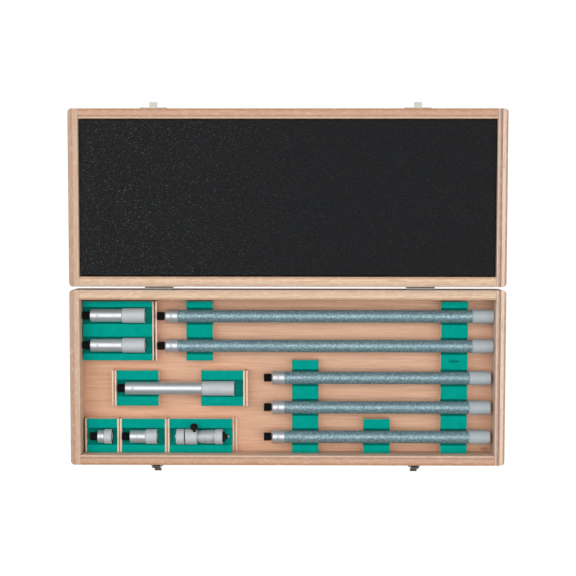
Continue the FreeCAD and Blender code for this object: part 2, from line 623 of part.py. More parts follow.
def short_pipes():
    rods = []
    for name, size, knurl, start, room, row in (
            ("short_pipe_thirteen", "pipe_a", "knurl_a", FRONT_X, "nose_room_a", ROW_FIVE),
            ("short_pipe_twentyfive", "pipe_b", "knurl_b", FRONT_B, "nose_room_b", ROW_FIVE),
            ("short_pipe_fifty_back", "pipe_c", "knurl_c", PAIR_X, "nose_room_c", PAIR_ROWS[0]),
            ("short_pipe_fifty_front", "pipe_c", "knurl_c", PAIR_X, "nose_room_c", PAIR_ROWS[1]),
            ("short_pipe_hundred", "pipe_d", "knurl_d", MIDDLE_X, "nose_room_d", MIDDLE_ROW)):
        spot = (f"{start} + {room} + nipple", f"-{row}", SHORT_AXIS)
        pipe = turned(name, NIPPLE + [
            (0, "body_dia / 2 - edge"), ("edge", "body_dia / 2"),
            (f"{size} - {knurl}", "body_dia / 2"), (f"{size} - {knurl}", "knurl_dia / 2 - edge"),
            (f"{size} - {knurl} + edge", "knurl_dia / 2"), *socket_end(size, "knurl_dia / 2")])
        keep(name, place(pipe, *spot))
        rods.append(gauge_rod(f"{name}_rod", size, *spot))
    group("short_gauge_rods", rods)


# Micrometer head, measured from the tip of its fixed contact

CAP_FLOOR = "(contact_reach + cap_wall)"
CAP_END = "(contact_reach + cap)"
STUB_START = f"({CAP_FLOOR} + stub_gap)"
BODY_START = f"({CAP_END} + cap_gap)"
BODY_END = f"({BODY_START} + body)"
CONE_START = "(head_length - cone - 2 * dome)"
WALL_FACE = f"({CONE_START} - end_wall)"
SLEEVE_END = f"({WALL_FACE} - sleeve_gap)"
TAIL_BORE = "(tail_dia / 2 + running_fit)"
CLAMP_SHANK = f"({TAIL_BORE} + pad)"


def head():
    spot = (f"{FRONT_C} + head_shift", f"-{ROW_FIVE}", HEAD_AXIS)
    half = "head_dia / 2"
    keep("measuring_cap", place(turned("measuring_cap", [
        ("contact_reach", "contact_pin_dia / 2"), ("contact_reach", f"{half} - edge"),
        ("contact_reach + edge", half), (f"{CAP_END} - edge", half),
        (CAP_END, f"{half} - edge"), (CAP_END, "socket_dia / 2"),
        (CAP_FLOOR, "socket_dia / 2"), (CAP_FLOOR, "contact_pin_dia / 2")]), *spot))
    keep("cap_contact", place(turned("cap_contact", [
        (0, 0), ("dome", "contact_dia / 2"), ("contact_reach", "contact_dia / 2"),
        ("contact_reach", "contact_pin_dia / 2"), (CAP_FLOOR, "contact_pin_dia / 2"),
        (CAP_FLOOR, 0)], domes=(0,)), *spot))

    sleeve_seat = "nut_seat_dia / 2"
    blank = place(turned("head_blank", [
        (STUB_START, TAIL_BORE), (STUB_START, "nipple_dia / 2 - edge"),
        (f"{STUB_START} + edge", "nipple_dia / 2"), (f"{BODY_START} - neck", "nipple_dia / 2"),
        (f"{BODY_START} - neck", "neck_dia / 2"), (BODY_START, "neck_dia / 2"),
        (BODY_START, f"{half} - edge"), (f"{BODY_START} + edge", half), (f"{BODY_END} - edge", half),
        (BODY_END, f"{half} - edge"), (BODY_END, f"{sleeve_seat} + spigot_play"),
        (f"{BODY_END} - sleeve_spigot", f"{sleeve_seat} + spigot_play"),
        (f"{BODY_END} - sleeve_spigot", TAIL_BORE)]), *spot)
    tilt = number("clamp_tilt")
    outwards = Rotation(X_AXIS, Rotation(X_AXIS, tilt).multVec(Y_AXIS))
    clamp_spot = (f"{spot[0]} + clamp_place", spot[1], spot[2])
    hole = place(turned("clamp_hole", [
        (0, 0), (0, "pad_dia / 2 + clamp_play"), (CLAMP_SHANK, "pad_dia / 2 + clamp_play"),
        (CLAMP_SHANK, "clamp_dia / 2 + clamp_play"), ("head_dia", "clamp_dia / 2 + clamp_play"),
        ("head_dia", 0)]), *clamp_spot, outwards)
    keep("head_body", cut("head_body", blank, hole))
    keep("clamp_pad", place(turned("clamp_pad", [
        (TAIL_BORE, 0), (TAIL_BORE, "pad_dia / 2"), (f"{CLAMP_SHANK} - clamp_play", "pad_dia / 2"),
        (f"{CLAMP_SHANK} - clamp_play", 0)]), *clamp_spot, outwards))
    keep("clamp_screw", place(turned("clamp_screw", [
        (CLAMP_SHANK, 0), (CLAMP_SHANK, "clamp_dia / 2"), ("knob_reach", "clamp_dia / 2"),
        ("knob_reach", "knob_dia / 2 - edge"), ("knob_reach + edge", "knob_dia / 2"),
        ("knob_reach + knob - edge", "knob_dia / 2"), ("knob_reach + knob", "knob_dia / 2 - edge"),
        ("knob_reach + knob", 0)]), *clamp_spot, outwards))

    spindle_bore = "spindle_dia / 2 + running_fit"
    keep("sleeve", place(turned("sleeve", [
        (f"{BODY_END} - sleeve_spigot", spindle_bore),
        (f"{BODY_END} - sleeve_spigot", sleeve_seat), (BODY_END, sleeve_seat),
        (BODY_END, "sleeve_dia / 2"), (f"{SLEEVE_END} - nut - edge", "sleeve_dia / 2"),
        (f"{SLEEVE_END} - nut - edge", sleeve_seat), (SLEEVE_END, sleeve_seat),
        (SLEEVE_END, spindle_bore)]), *spot))
    keep("adjusting_nut", place(turned("adjusting_nut", [
        (f"{SLEEVE_END} - nut", f"{sleeve_seat} + clamp_play"),
        (f"{SLEEVE_END} - nut", "sleeve_dia / 2"), (f"{SLEEVE_END} - edge", "sleeve_dia / 2"),
        (f"{SLEEVE_END} - edge", f"{sleeve_seat} + clamp_play")]), *spot))

    nose_bore = "nose_dia / 2 + running_fit"
    keep("spindle", place(turned("spindle", [
        (f"{STUB_START} + dome", 0), (f"{STUB_START} + dome", "tail_dia / 2"),
        (f"{BODY_END} + spindle_step", "tail_dia / 2"),
        (f"{BODY_END} + spindle_step", "spindle_dia / 2"),
        (f"{WALL_FACE} - running_fit", "spindle_dia / 2"),
        (f"{WALL_FACE} - running_fit", "nose_dia / 2"),
        ("head_length - dome", "nose_dia / 2"), ("head_length", 0)], domes=(6,)), *spot))
    thimble_bore = "sleeve_dia / 2 + running_fit"
    thimble_start = f"{BODY_END} + thimble_gap"
    grip_start = f"{CONE_START} - grip"
    grip = f"({half} - grip_relief)"
    keep("thimble", place(turned("thimble", [
        (thimble_start, thimble_bore), (thimble_start, f"{thimble_bore} + bevel_edge"),
        (f"{thimble_start} + bevel", "thimble_dia / 2"), (grip_start, "thimble_dia / 2"),
        (grip_start, f"{grip} - edge"), (f"{grip_start} + edge", grip),
        (f"{CONE_START} - edge", grip), (CONE_START, f"{grip} - edge"),
        (CONE_START, nose_bore), (WALL_FACE, nose_bore), (WALL_FACE, thimble_bore)]), *spot))
    keep("thimble_cap", place(turned("thimble_cap", [
        (CONE_START, nose_bore), (CONE_START, "cone_dia / 2"),
        (f"{CONE_START} + cone_rim", "cone_dia / 2"),
        (f"{CONE_START} + cone", "cone_tip_dia / 2"),
        (f"{CONE_START} + cone", nose_bore)]), *spot))


# Build, test and write

case_half("base", -1)
case_half("lid", 1)
lid_foam()
hinges()
latches()
racks()
rack_plates()
long_pipes()
short_pipes()
head()
document.recompute()

for thing in document.Objects:
    if "Invalid" in thing.State or "Error" in thing.State:
        raise RuntimeError(f"{thing.Label} did not build: {thing.State}")
for node in nodes:
    if node.Shape.isNull() or not node.Shape.isValid():
        raise RuntimeError(f"{node.Label} has no valid shape")

os.makedirs("parts", exist_ok=True)
for node in nodes:
    node.Shape.exportStep(os.path.join("parts", f"{node.Label}.step"))
print(f"{len(nodes)} nodes written")
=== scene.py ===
"""Dresses the tubular inside micrometer, its pipes and its open wooden case."""

import json
import logging
import math
from collections.abc import Sequence
from dataclasses import dataclass
from enum import Enum

import bmesh
import bpy
from mathutils import Euler, Matrix, Vector, noise


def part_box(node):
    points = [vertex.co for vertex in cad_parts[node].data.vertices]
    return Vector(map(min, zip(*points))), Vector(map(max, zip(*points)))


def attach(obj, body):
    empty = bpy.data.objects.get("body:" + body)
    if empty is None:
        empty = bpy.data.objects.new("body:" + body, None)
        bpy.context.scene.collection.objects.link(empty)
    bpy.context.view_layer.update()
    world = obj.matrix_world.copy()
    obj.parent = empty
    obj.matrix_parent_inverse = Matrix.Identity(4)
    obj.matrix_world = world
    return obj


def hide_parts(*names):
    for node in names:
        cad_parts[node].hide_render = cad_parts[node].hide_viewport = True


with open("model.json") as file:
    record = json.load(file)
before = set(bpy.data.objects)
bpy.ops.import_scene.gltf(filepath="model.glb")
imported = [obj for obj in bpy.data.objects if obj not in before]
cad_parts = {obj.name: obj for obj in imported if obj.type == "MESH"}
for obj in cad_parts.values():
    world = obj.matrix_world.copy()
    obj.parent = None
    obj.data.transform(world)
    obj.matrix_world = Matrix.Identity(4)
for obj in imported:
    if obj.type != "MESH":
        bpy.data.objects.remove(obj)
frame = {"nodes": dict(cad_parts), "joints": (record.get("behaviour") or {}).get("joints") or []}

LOG = logging.getLogger("micrometer")
MM = 0.001
TURN = 2 * math.pi
Colour = tuple[float, float, float]
Outline = Sequence[tuple[float, float]]
Shape = bmesh.types.BMesh

# Sizes in millimetres, and steps round a piece, that several pieces share
BEVEL = 0.4
CHAMFER = 0.3
KNURL_PITCH = 0.5
KNURL_DEPTH = 0.16
PIPE_BORE = 2.55
SOCKET_RADIUS = 4.2
STROKE_DEPTH = 0.03
FIGURE_DEPTH = 0.012
FIGURE_LIFT = 0.004
FONT_SCALE = 1.4
FINE_STEPS = 128
SHARP_ANGLE = math.radians(32)


class Axis(Enum):
    """A direction of the row frame."""

    X = 0
    Y = 1
    Z = 2


def srgb(*parts: int) -> Colour:
    """Turns a colour as a screen shows it, from 0 to 255, into linear light.

    Args:
        parts: Its red, green and blue.

    Returns:
        The linear colour.
    """
    shares = (part / 255 for part in parts)
    return tuple(s / 12.92 if s <= 0.04045 else ((s + 0.055) / 1.055) ** 2.4 for s in shares)


# Shader maths


class Wire:
    """The value of a node's socket, which Python's operators combine."""

    def __init__(self, shader: "Shader", socket: bpy.types.NodeSocket) -> None:
        """Keeps the socket and the shader that it belongs to."""
        self.shader = shader
        self.socket = socket

    def math(self, operation: str, other: "Wire | float") -> "Wire":
        """Adds a Math node that this value goes into first.

        Args:
            operation: The node's operation.
            other: Its second input.

        Returns:
            The node's result.
        """
        return self.shader.make("ShaderNodeMath", {"operation": operation}, {0: self, 1: other})

    def __add__(self, other: "Wire | float") -> "Wire":
        """Adds two values."""
        return self.math("ADD", other)

    def __sub__(self, other: "Wire | float") -> "Wire":
        """Subtracts a value from this one."""
        return self.math("SUBTRACT", other)

    def __mul__(self, other: "Wire | float") -> "Wire":
        """Multiplies two values."""
        return self.math("MULTIPLY", other)

    def __truediv__(self, other: "Wire | float") -> "Wire":
        """Divides this value by another."""
        return self.math("DIVIDE", other)

    __radd__ = __add__

    def steps(self, low: float, high: float) -> "Wire":
        """Eases from 0 at one value to 1 at another, and stays level outside them."""
        return self.shader.make("ShaderNodeMapRange", {"interpolation_type": "SMOOTHSTEP"},
                                {0: self, 1: low, 2: high})


class Shader:
    """A material with one Principled shader, and short ways to make nodes for it."""

    def __init__(self, name: str) -> None:
        """Makes the material."""
        self.material = bpy.data.materials.new(name)
        self.material.use_nodes = True
        self.tree = self.material.node_tree
        self.surface = self.tree.nodes["Principled BSDF"]

    def make(self, kind: str, settings: dict[str, object] | None = None,
             sockets: dict[str | int, object] | None = None, output: str | int = 0) -> Wire:
        """Makes a node.

        Args:
            kind: The node's type.
            settings: Its own settings.
            sockets: The value or link of each input, by name or number.
            output: The output to give back.

        Returns:
            The chosen output.
        """
        node = self.tree.nodes.new(kind)
        for word, choice in (settings or {}).items():
            setattr(node, word, choice)
        for word, value in (sockets or {}).items():
            self.feed(node.inputs[word], value)
        return Wire(self, node.outputs[output])

    def feed(self, socket: bpy.types.NodeSocket, value: object) -> None:
        """Links a wire to a socket, or sets the socket to a plain value."""
        if isinstance(value, Wire):
            self.tree.links.new(value.socket, socket)
        elif socket.type == "RGBA":
            socket.default_value = (*value, 1)
        else:
            socket.default_value = value

    def ramp(self, value: Wire, stops: Sequence[tuple[float, Colour]], sharp: bool = False) -> Wire:
        """Turns a value into a colour.

        Args:
            value: The value, from 0 to 1.
            stops: The colours and where they stand.
            sharp: Whether each colour holds until the next one.

        Returns:
            The colour.
        """
        colours = self.make("ShaderNodeValToRGB", {}, {0: value})
        ramp = colours.socket.node.color_ramp
        for _ in stops[2:]:
            ramp.elements.new(0.5)
        for element, (position, colour) in zip(ramp.elements, stops):
            element.position = position
            element.color = (*colour, 1)
        ramp.interpolation = "CONSTANT" if sharp else "LINEAR"
        return colours

    def position(self, scale: Sequence[float] = (1, 1, 1)) -> Wire:
        """Gives the place on the piece in millimetres, stretched by a scale along each axis."""
        place = self.make("ShaderNodeTexCoord", output="Object")
        return self.make("ShaderNodeMapping", {}, {"Vector": place, "Scale": [s / MM for s in scale]})

    def along(self, axis: Axis) -> Wire:
        """Gives one coordinate of the place on the piece, in millimetres."""
        return self.make("ShaderNodeSeparateXYZ", {}, {0: self.position()}, axis.value)

    def spot(self, centre: tuple[float, float], reach: tuple[float, float]) -> Wire:
        """Gives 0 at a centre and 1 on the ellipse round it, both in millimetres along X and Y."""
        across = (self.along(Axis.X) - centre[0]) / reach[0]
        down = (self.along(Axis.Y) - centre[1]) / reach[1]
        return across * across + down * down

    def noise(self, vector: Wire, scale: float, detail: float = 2, rough: float = 0.5) -> Wire:
        """Gives noise whose features are about 1 / scale millimetres wide."""
        return self.make("ShaderNodeTexNoise", {},
                         {"Vector": vector, "Scale": scale, "Detail": detail, "Roughness": rough})

    def mix(self, first: object, second: object, factor: "Wire | float") -> Wire:
        """Mixes two colours.

        Args:
            first: The colour at factor 0.
            second: The colour at factor 1.
            factor: How far to go from the first to the second.

        Returns:
            The mixed colour.
        """
        return self.make("ShaderNodeMix", {"data_type": "RGBA"}, {0: factor, 6: first, 7: second}, 2)

    def bump(self, height: Wire, depth: float, strength: float = 1.0) -> None:
        """Lets a height, from 0 to 1, raise the surface by a depth in millimetres."""
        self.set(Normal=self.make("ShaderNodeBump", {}, {"Height": height, "Distance": depth * MM,
                                                         "Strength": strength}, "Normal"))

    def set(self, **sockets: object) -> None:
        """Sets the shader's sockets, with underscores for the spaces in their names."""
        for word, value in sockets.items():
            self.feed(self.surface.inputs[word.replace("_", " ")], value)


# Finishes


@dataclass(frozen=True)
class Finish:
    """A surface, and the record's slot that it belongs to."""

    name: str
    slot: str

    def material(self) -> bpy.types.Material:
        """Gives the finish's material, made once, under a name that no CAD material has."""
        label = f"{self.name}_finish"
        made = bpy.data.materials.get(label)
        if made is None:
            shader = Shader(label)
            self.paint(shader)
            made = shader.material
        return made

    def paint(self, shader: Shader) -> None:
        """Sets up the shader; each kind of finish does this its own way."""
        raise NotImplementedError


@dataclass(frozen=True)
class Plywood(Finish):
    """Board whose plies show at its edges, with the grain along one axis.

    The pieces carry an attribute that runs from 0 at the outer face to 1 at the inner one.
    """

    layers: tuple[tuple[float, Colour], ...]
    grain: Axis
    contrast: float = 1.0

    def paint(self, shader: Shader) -> None:
        """Paints the plies, streaks along the grain and mottling."""
        depth = shader.make("ShaderNodeAttribute", {"attribute_name": "ply"}, output="Fac")
        scale = [0.9, 0.9, 0.9]
        scale[self.grain.value] = 0.07
        streaks = shader.noise(shader.position(scale), 1.0, 5, 0.62)
        mottle = shader.noise(shader.position([0.16 + s * 0.3 for s in scale]), 1.0, 3, 0.6)
        plies = shader.ramp(depth + (mottle - 0.5) * 0.05, self.layers, sharp=True)
        deep = shader.mix(plies, srgb(176, 132, 104), 0.6)
        pale = shader.mix(plies, srgb(255, 232, 208), 0.5)
        colour = shader.mix(plies, deep, streaks.steps(0.45, 0.72) * (0.7 * self.contrast))
        colour = shader.mix(colour, pale, mottle.steps(0.45, 0.8) * (0.45 * self.contrast))
        shader.set(Base_Color=colour, Roughness=0.5 + streaks * 0.2)
        shader.bump(streaks, 0.06, 0.5)


@dataclass(frozen=True)
class Veneer(Finish):
    """A panel face with its grain along X."""

    pale: Colour
    deep: Colour

    def paint(self, shader: Shader) -> None:
        """Paints fine straight grain, pores and a faint painted shade in the front right corner."""
        grain = shader.noise(shader.position((0.02, 0.55, 0.5)), 1.0, 4, 0.6)
        pores = shader.noise(shader.position((0.06, 1.6, 1.0)), 1.0, 4, 0.65)
        colour = shader.ramp(grain, ((0.3, self.deep), (0.7, self.pale)))
        colour = shader.mix(colour, srgb(172, 122, 94), pores.steps(0.5, 0.75) * 0.45)
        # Painted shade in the front right corner, against the walls, given a ragged edge by the pores.
        spot = shader.spot((183.0, -150.5), (5.0, 1.8))
        stain = (spot + (pores - 0.5) * 1.6).steps(1.0, 0.3)
        colour = shader.mix(colour, srgb(128, 84, 56), stain * 0.5)
        shader.set(Base_Color=colour, Roughness=0.52 + pores * 0.15)
        shader.bump(pores, 0.05, 0.4)


@dataclass(frozen=True)
class Felt(Finish):
    """Short green nap on the racks."""

    pale: Colour
    deep: Colour

    def paint(self, shader: Shader) -> None:
        """Paints the nap, its uneven lie, and one darker ellipse on the right-hand strip."""
        nap = shader.noise(shader.position(), 3.2, 3, 0.7)
        lie = shader.noise(shader.position(), 0.16, 3)
        colour = shader.mix(self.deep, self.pale, nap * 0.5 + lie * 0.6)
        # Darkens an ellipse on the right-hand strip.
        mark = shader.spot((152.8, -67.4), (6.2, 1.2)).steps(1.3, 0.4)
        colour = shader.mix(colour, srgb(4, 70, 62), mark * 0.55)
        shader.set(Base_Color=colour, Roughness=1.0, Specular_IOR_Level=0.02)
        shader.bump(nap, 0.12, 0.8)


@dataclass(frozen=True)
class Foam(Finish):
    """Fine-celled charcoal foam with pale specks."""

    def paint(self, shader: Shader) -> None:
        """Paints the cells and specks; the specks grow paler towards the left as painted light."""
        cells = shader.noise(shader.position(), 1.6, 3, 0.7)
        specks = shader.noise(shader.position(), 0.75, 5, 0.85)
        # Painted light: the specks show more towards the left, where more light falls. The specks
        # themselves are the foam's own.
        left = shader.along(Axis.X).steps(60.0, -190.0)
        colour = shader.ramp(cells, ((0.3, srgb(15, 16, 17)), (0.7, srgb(36, 37, 39))))
        colour = shader.mix(colour, srgb(138, 138, 136),
                            specks.steps(0.56, 0.72) * (0.28 + left * 0.8))
        shader.set(Base_Color=colour, Roughness=0.95, Specular_IOR_Level=0.2)
        shader.bump(cells, 0.25, 0.9)


@dataclass(frozen=True)
class HammeredPaint(Finish):
    """Grey-blue paint that dries in small dimples."""

    pale: Colour
    deep: Colour

    def paint(self, shader: Shader) -> None:
        """Paints the dimples and the metal flake that gathers between them."""
        warp = shader.noise(shader.position(), 0.35, 2)
        dimples = shader.make("ShaderNodeTexVoronoi", {"feature": "SMOOTH_F1"},
                              {"Vector": shader.position(), "Scale": 0.9, "Smoothness": 0.6})
        flake = shader.noise(shader.position(), 2.4, 3, 0.6)
        tone = dimples + (flake - 0.5) * 1.1 + (warp - 0.45) * 0.4
        colour = shader.mix(self.deep, self.pale, tone)
        shader.set(Base_Color=colour, Metallic=0.45, Roughness=0.34 + flake * 0.12, Coat_Weight=0.45,
                   Coat_Roughness=0.12)
        shader.bump(dimples + flake * 0.3, 0.2, 1.0)


@dataclass(frozen=True)
class Metal(Finish):
    """Turned or sheet metal with fine marks."""

    colour: Colour
    roughness: float
    turned: bool = True
    spread: float = 0.06
    metallic: float = 1.0
    specular: float = 0.5

    def paint(self, shader: Shader) -> None:
        """Paints marks, which run round a turned piece, faint stains and a little unevenness."""
        scale = (7.0, 0.05, 0.05) if self.turned else (0.25, 0.25, 0.25)
        marks = shader.noise(shader.position(scale), 1.0, 4, 0.6)
        stain = shader.noise(shader.position(), 0.22, 4, 0.6)
        tarnish = tuple(part * 0.72 for part in self.colour)
        colour = shader.mix(self.colour, tarnish, (stain - 0.35) * 0.6)
        shader.set(Base_Color=colour, Metallic=self.metallic, Specular_IOR_Level=self.specular,
                   Roughness=self.roughness + (marks - 0.5) * self.spread + (stain - 0.5) * 0.08)
        shader.bump(marks, 0.01, 0.5)


@dataclass(frozen=True)
class Ink(Finish):
    """The filling of a graduation or a number."""

    colour: Colour

    def paint(self, shader: Shader) -> None:
        """Paints a dull filling, a little worn."""
        worn = shader.noise(shader.position(), 2.0, 2)
        faded = tuple(part * 0.6 + 0.12 for part in self.colour)
        shader.set(Base_Color=shader.mix(self.colour, faded, worn * 0.5), Roughness=0.7)


CREAM = srgb(236, 208, 180)
LEFT_PLY = ((0.0, srgb(182, 157, 136)), (0.2, srgb(189, 149, 124)), (0.5, srgb(205, 172, 146)),
            (0.87, srgb(214, 185, 161)))
RIGHT_PLY = ((0.0, srgb(176, 145, 122)), (0.2, srgb(230, 200, 177)), (0.52, srgb(156, 122, 104)),
             (0.72, srgb(190, 161, 143)), (0.86, srgb(218, 192, 175)))
FRONT_PLY = ((0.0, srgb(188, 140, 106)), (0.24, srgb(204, 161, 134)), (0.64, srgb(178, 139, 114)),
             (0.84, srgb(216, 184, 160)))
HINGE_PLY = ((0.0, srgb(205, 176, 153)), (0.3, srgb(218, 186, 156)), (0.55, srgb(228, 194, 162)),
             (0.78, srgb(194, 160, 132)))
PLATE_PLY = ((0.0, CREAM), (0.34, srgb(158, 118, 92)), (0.66, srgb(236, 208, 184)))
# Pair plate plies: the cream and pale plies are the wood's own colour; the dark middle ply is painted
# shadow of the gap between two thin plates.
PAIR_PLY_AND_PAINTED_GAP_SHADE = ((0.0, CREAM), (0.3, srgb(72, 46, 36)), (0.7, srgb(238, 204, 190)))

LEFT_BOARD = Plywood("left_board_wood", "board_wood", LEFT_PLY, Axis.Y)
RIGHT_BOARD = Plywood("right_board_wood", "board_wood", RIGHT_PLY, Axis.Y)
FRONT_BOARD = Plywood("front_board_wood", "board_wood", FRONT_PLY, Axis.X)
HINGE_BOARD = Plywood("hinge_board_wood", "board_wood", HINGE_PLY, Axis.X, 1.3)
RACK_WOOD = Plywood("rack_block_wood", "rack_wood", ((0.0, CREAM), (0.5, CREAM)), Axis.X)
PLATE_WOOD = Plywood("rack_plate_wood", "rack_wood", PLATE_PLY, Axis.Y)
PAIR_WOOD_AND_PAINTED_GAP_SHADE = Plywood("pair_plate_wood_and_painted_gap_shade", "rack_wood", PAIR_PLY_AND_PAINTED_GAP_SHADE, Axis.Y)
FLOOR_WOOD = Veneer("floor_veneer", "panel_wood", srgb(226, 182, 152), srgb(206, 158, 128))
FELT = Felt("rack_felt", "felt", srgb(6, 168, 152), srgb(0, 128, 116))
FOAM = Foam("lid_foam_cells", "foam")
TUBE_PAINT = HammeredPaint("hammered_paint", "tube_paint", srgb(162, 193, 201), srgb(44, 78, 89))
SATIN = Metal("turned_satin", "satin_chrome", srgb(206, 210, 214), 0.42, metallic=0.8)
THIMBLE_SATIN = Metal("thimble_satin", "satin_chrome", srgb(190, 194, 198), 0.58, metallic=0.55)
KNURLED = Metal("knurled_chrome", "satin_chrome", srgb(198, 203, 206), 0.7, metallic=0.4)
DULL = Metal("dull_knurled_chrome", "satin_chrome", srgb(180, 188, 192), 0.75, metallic=0.3)
BLACK = Metal("black_oxide", "black_steel", srgb(22, 22, 24), 0.5, metallic=0.0, specular=0.15)
GROUND = Metal("ground_steel_face", "ground_steel", srgb(190, 190, 192), 0.4, metallic=0.5)
NICKEL = Metal("nickel_plate", "plated_steel", srgb(168, 164, 154), 0.38, turned=False)
# The levers are nickel plate; their dark grey colour is painted reflection of the dark surroundings.
LEVER_PAINTED_DARK_REFLECTION = Metal("lever_painted_dark_reflection", "plated_steel", srgb(92, 88, 82), 0.34, turned=False)
HINGE_STEEL = Metal("hinge_steel", "plated_steel", srgb(150, 148, 144), 0.5, turned=False)
BRASS = Metal("turned_brass", "brass", srgb(214, 176, 96), 0.3)
DARK_INK = Ink("dark_filling", "black_steel", srgb(20, 20, 22))
FAINT_INK = Ink("faint_etching", "ground_steel", srgb(120, 122, 126))


# Mesh helpers


def placed(name: str, data: bpy.types.ID) -> bpy.types.Object:
    """Makes an object and puts it in the scene."""
    made = bpy.data.objects.new(name, data)
    bpy.context.scene.collection.objects.link(made)
    return made


def finished(name: str, mesh: Shape, finish: Finish, body: str,
             nodes: Sequence[str] = ()) -> bpy.types.Object:
    """Turns a bmesh into a piece that rides on a body and stands for CAD nodes.

    Args:
        name: The piece's name.
        mesh: Its shape, in metres in the row frame.
        finish: Its surface.
        body: The CAD body that it rides on.
        nodes: The CAD nodes that it stands for.

    Returns:
        The finished object.
    """
    data = bpy.data.meshes.new(name)
    mesh.to_mesh(data)
    mesh.free()
    for polygon in data.polygons:
        polygon.use_smooth = True
    data.set_sharp_from_angle(angle=SHARP_ANGLE)
    data.materials.append(finish.material())
    piece = placed(name, data)
    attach(piece, body)
    if nodes:
        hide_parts(*nodes)
    LOG.info("%s: %d faces", name, len(data.polygons))
    return piece


def spun(outline: Outline, centre: Vector, segments: int = 96) -> Shape:
    """Turns an outline about an axis along X.

    Args:
        outline: Corners as (distance, radius) in millimetres, closed unless both ends are on the axis.
        centre: Where the outline's zero is, in metres.
        segments: How many steps go round.

    Returns:
        The turned shape.
    """
    mesh = bmesh.new()
    corners = [mesh.verts.new((x * MM, 0, r * MM)) for x, r in outline]
    closed = outline[0][1] > 0 or outline[-1][1] > 0
    edges = [mesh.edges.new(pair) for pair in zip(corners, corners[1:] + corners[:closed])]
    bmesh.ops.spin(mesh, geom=corners + edges, cent=(0, 0, 0), axis=(1, 0, 0), angle=TURN,
                   steps=segments, use_merge=True)
    bmesh.ops.remove_doubles(mesh, verts=mesh.verts, dist=1e-7)
    bmesh.ops.recalc_face_normals(mesh, faces=mesh.faces)
    bmesh.ops.translate(mesh, verts=mesh.verts, vec=centre)
    return mesh


def knurled(centre: Vector, before: Outline, start: float, stop: float, radius: float,
            after: Outline) -> Shape:
    """Turns a shape with a diamond knurl, cut by lowering every other point of a bevelled band.

    Args:
        centre: Where the distances are measured from, in metres.
        before: The outline before the band, in millimetres.
        start: Where the band's first bevel starts.
        stop: Where its last bevel ends.
        radius: Its radius.
        after: The outline after the band.

    Returns:
        The turned shape.
    """
    first, last = start + BEVEL, stop - BEVEL
    segments = 2 * round(math.pi * radius / KNURL_PITCH)
    rows = round((last - first) / KNURL_PITCH)
    band = [(first + (last - first) * row / rows, radius) for row in range(rows + 1)]
    bevelled = [(start, radius - BEVEL), *band, (stop, radius - BEVEL)]
    mesh = spun([*before, *bevelled, *after], centre, segments)
    shrink = (radius - KNURL_DEPTH) / radius
    for vert in mesh.verts:
        place = (vert.co - centre) / MM
        row = round((place.x - first) / (last - first) * rows)
        step = round(math.atan2(place.y, place.z) / TURN * segments)
        on_band = abs(math.hypot(place.y, place.z) - radius) < 1e-3 and 0 < row < rows
        if on_band and (row + step) % 2:
            vert.co.y = centre.y + place.y * shrink * MM
            vert.co.z = centre.z + place.z * shrink * MM
    return mesh


def thread(centre: Vector, start: float, stop: float, radius: float, bore: float) -> Shape:
    """Makes a hollow screwed end with a true helical thread.

    Args:
        centre: Where the distances are measured from, in metres.
        start: The thread's free end, in millimetres.
        stop: Its other end.
        radius: The radius of the crests.
        bore: The radius of the hole through it.

    Returns:
        The closed shape.
    """
    mesh = bmesh.new()
    pitch, depth, segments = 1.0, 0.54, 48
    count = math.ceil((stop - start) / pitch) * 2 + 6
    corners = [mesh.verts.new(((start + (step / 2 - 1.5) * pitch) * MM, 0,
                               (radius - depth * (step % 2)) * MM)) for step in range(count)]
    edges = [mesh.edges.new(pair) for pair in zip(corners, corners[1:])]
    bmesh.ops.spin(mesh, geom=corners + edges, cent=(0, 0, 0), axis=(1, 0, 0), angle=TURN,
                   dvec=(pitch * MM / segments, 0, 0), steps=segments)
    bmesh.ops.remove_doubles(mesh, verts=mesh.verts, dist=1e-6)
    for place, side in ((start, -1), (stop, 1)):
        bmesh.ops.bisect_plane(mesh, geom=[*mesh.verts, *mesh.edges, *mesh.faces],
                               plane_co=(place * MM, 0, 0), plane_no=(side, 0, 0), clear_outer=True)
    for vert in mesh.verts:
        reach = math.hypot(vert.co.y, vert.co.z)
        limit = (radius - depth) * MM + max(vert.co.x - start * MM, 0)
        if reach > limit:
            vert.co.yz = vert.co.yz * (limit / reach)
    rims = [edge for edge in mesh.edges if edge.is_boundary]
    inner = bmesh.ops.extrude_edge_only(mesh, edges=rims)["geom"]
    for vert in (part for part in inner if isinstance(part, bmesh.types.BMVert)):
        vert.co.yz = vert.co.yz.normalized() * bore * MM
    bmesh.ops.bridge_loops(mesh, edges=[edge for edge in mesh.edges if edge.is_boundary])
    bmesh.ops.recalc_face_normals(mesh, faces=mesh.faces)
    bmesh.ops.translate(mesh, verts=mesh.verts, vec=centre)
    return mesh


def joined(*meshes: Shape) -> Shape:
    """Puts several closed shapes into one mesh."""
    first, *others = meshes
    for other in others:
        data = bpy.data.meshes.new("part")
        other.to_mesh(data)
        other.free()
        first.from_mesh(data)
        bpy.data.meshes.remove(data)
    return first


def merged_copy(node: str) -> Shape:
    """Copies a CAD node's mesh and closes it."""
    mesh = bmesh.new()
    mesh.from_mesh(frame["nodes"][node].data)
    bmesh.ops.remove_doubles(mesh, verts=mesh.verts, dist=1e-6)
    return mesh


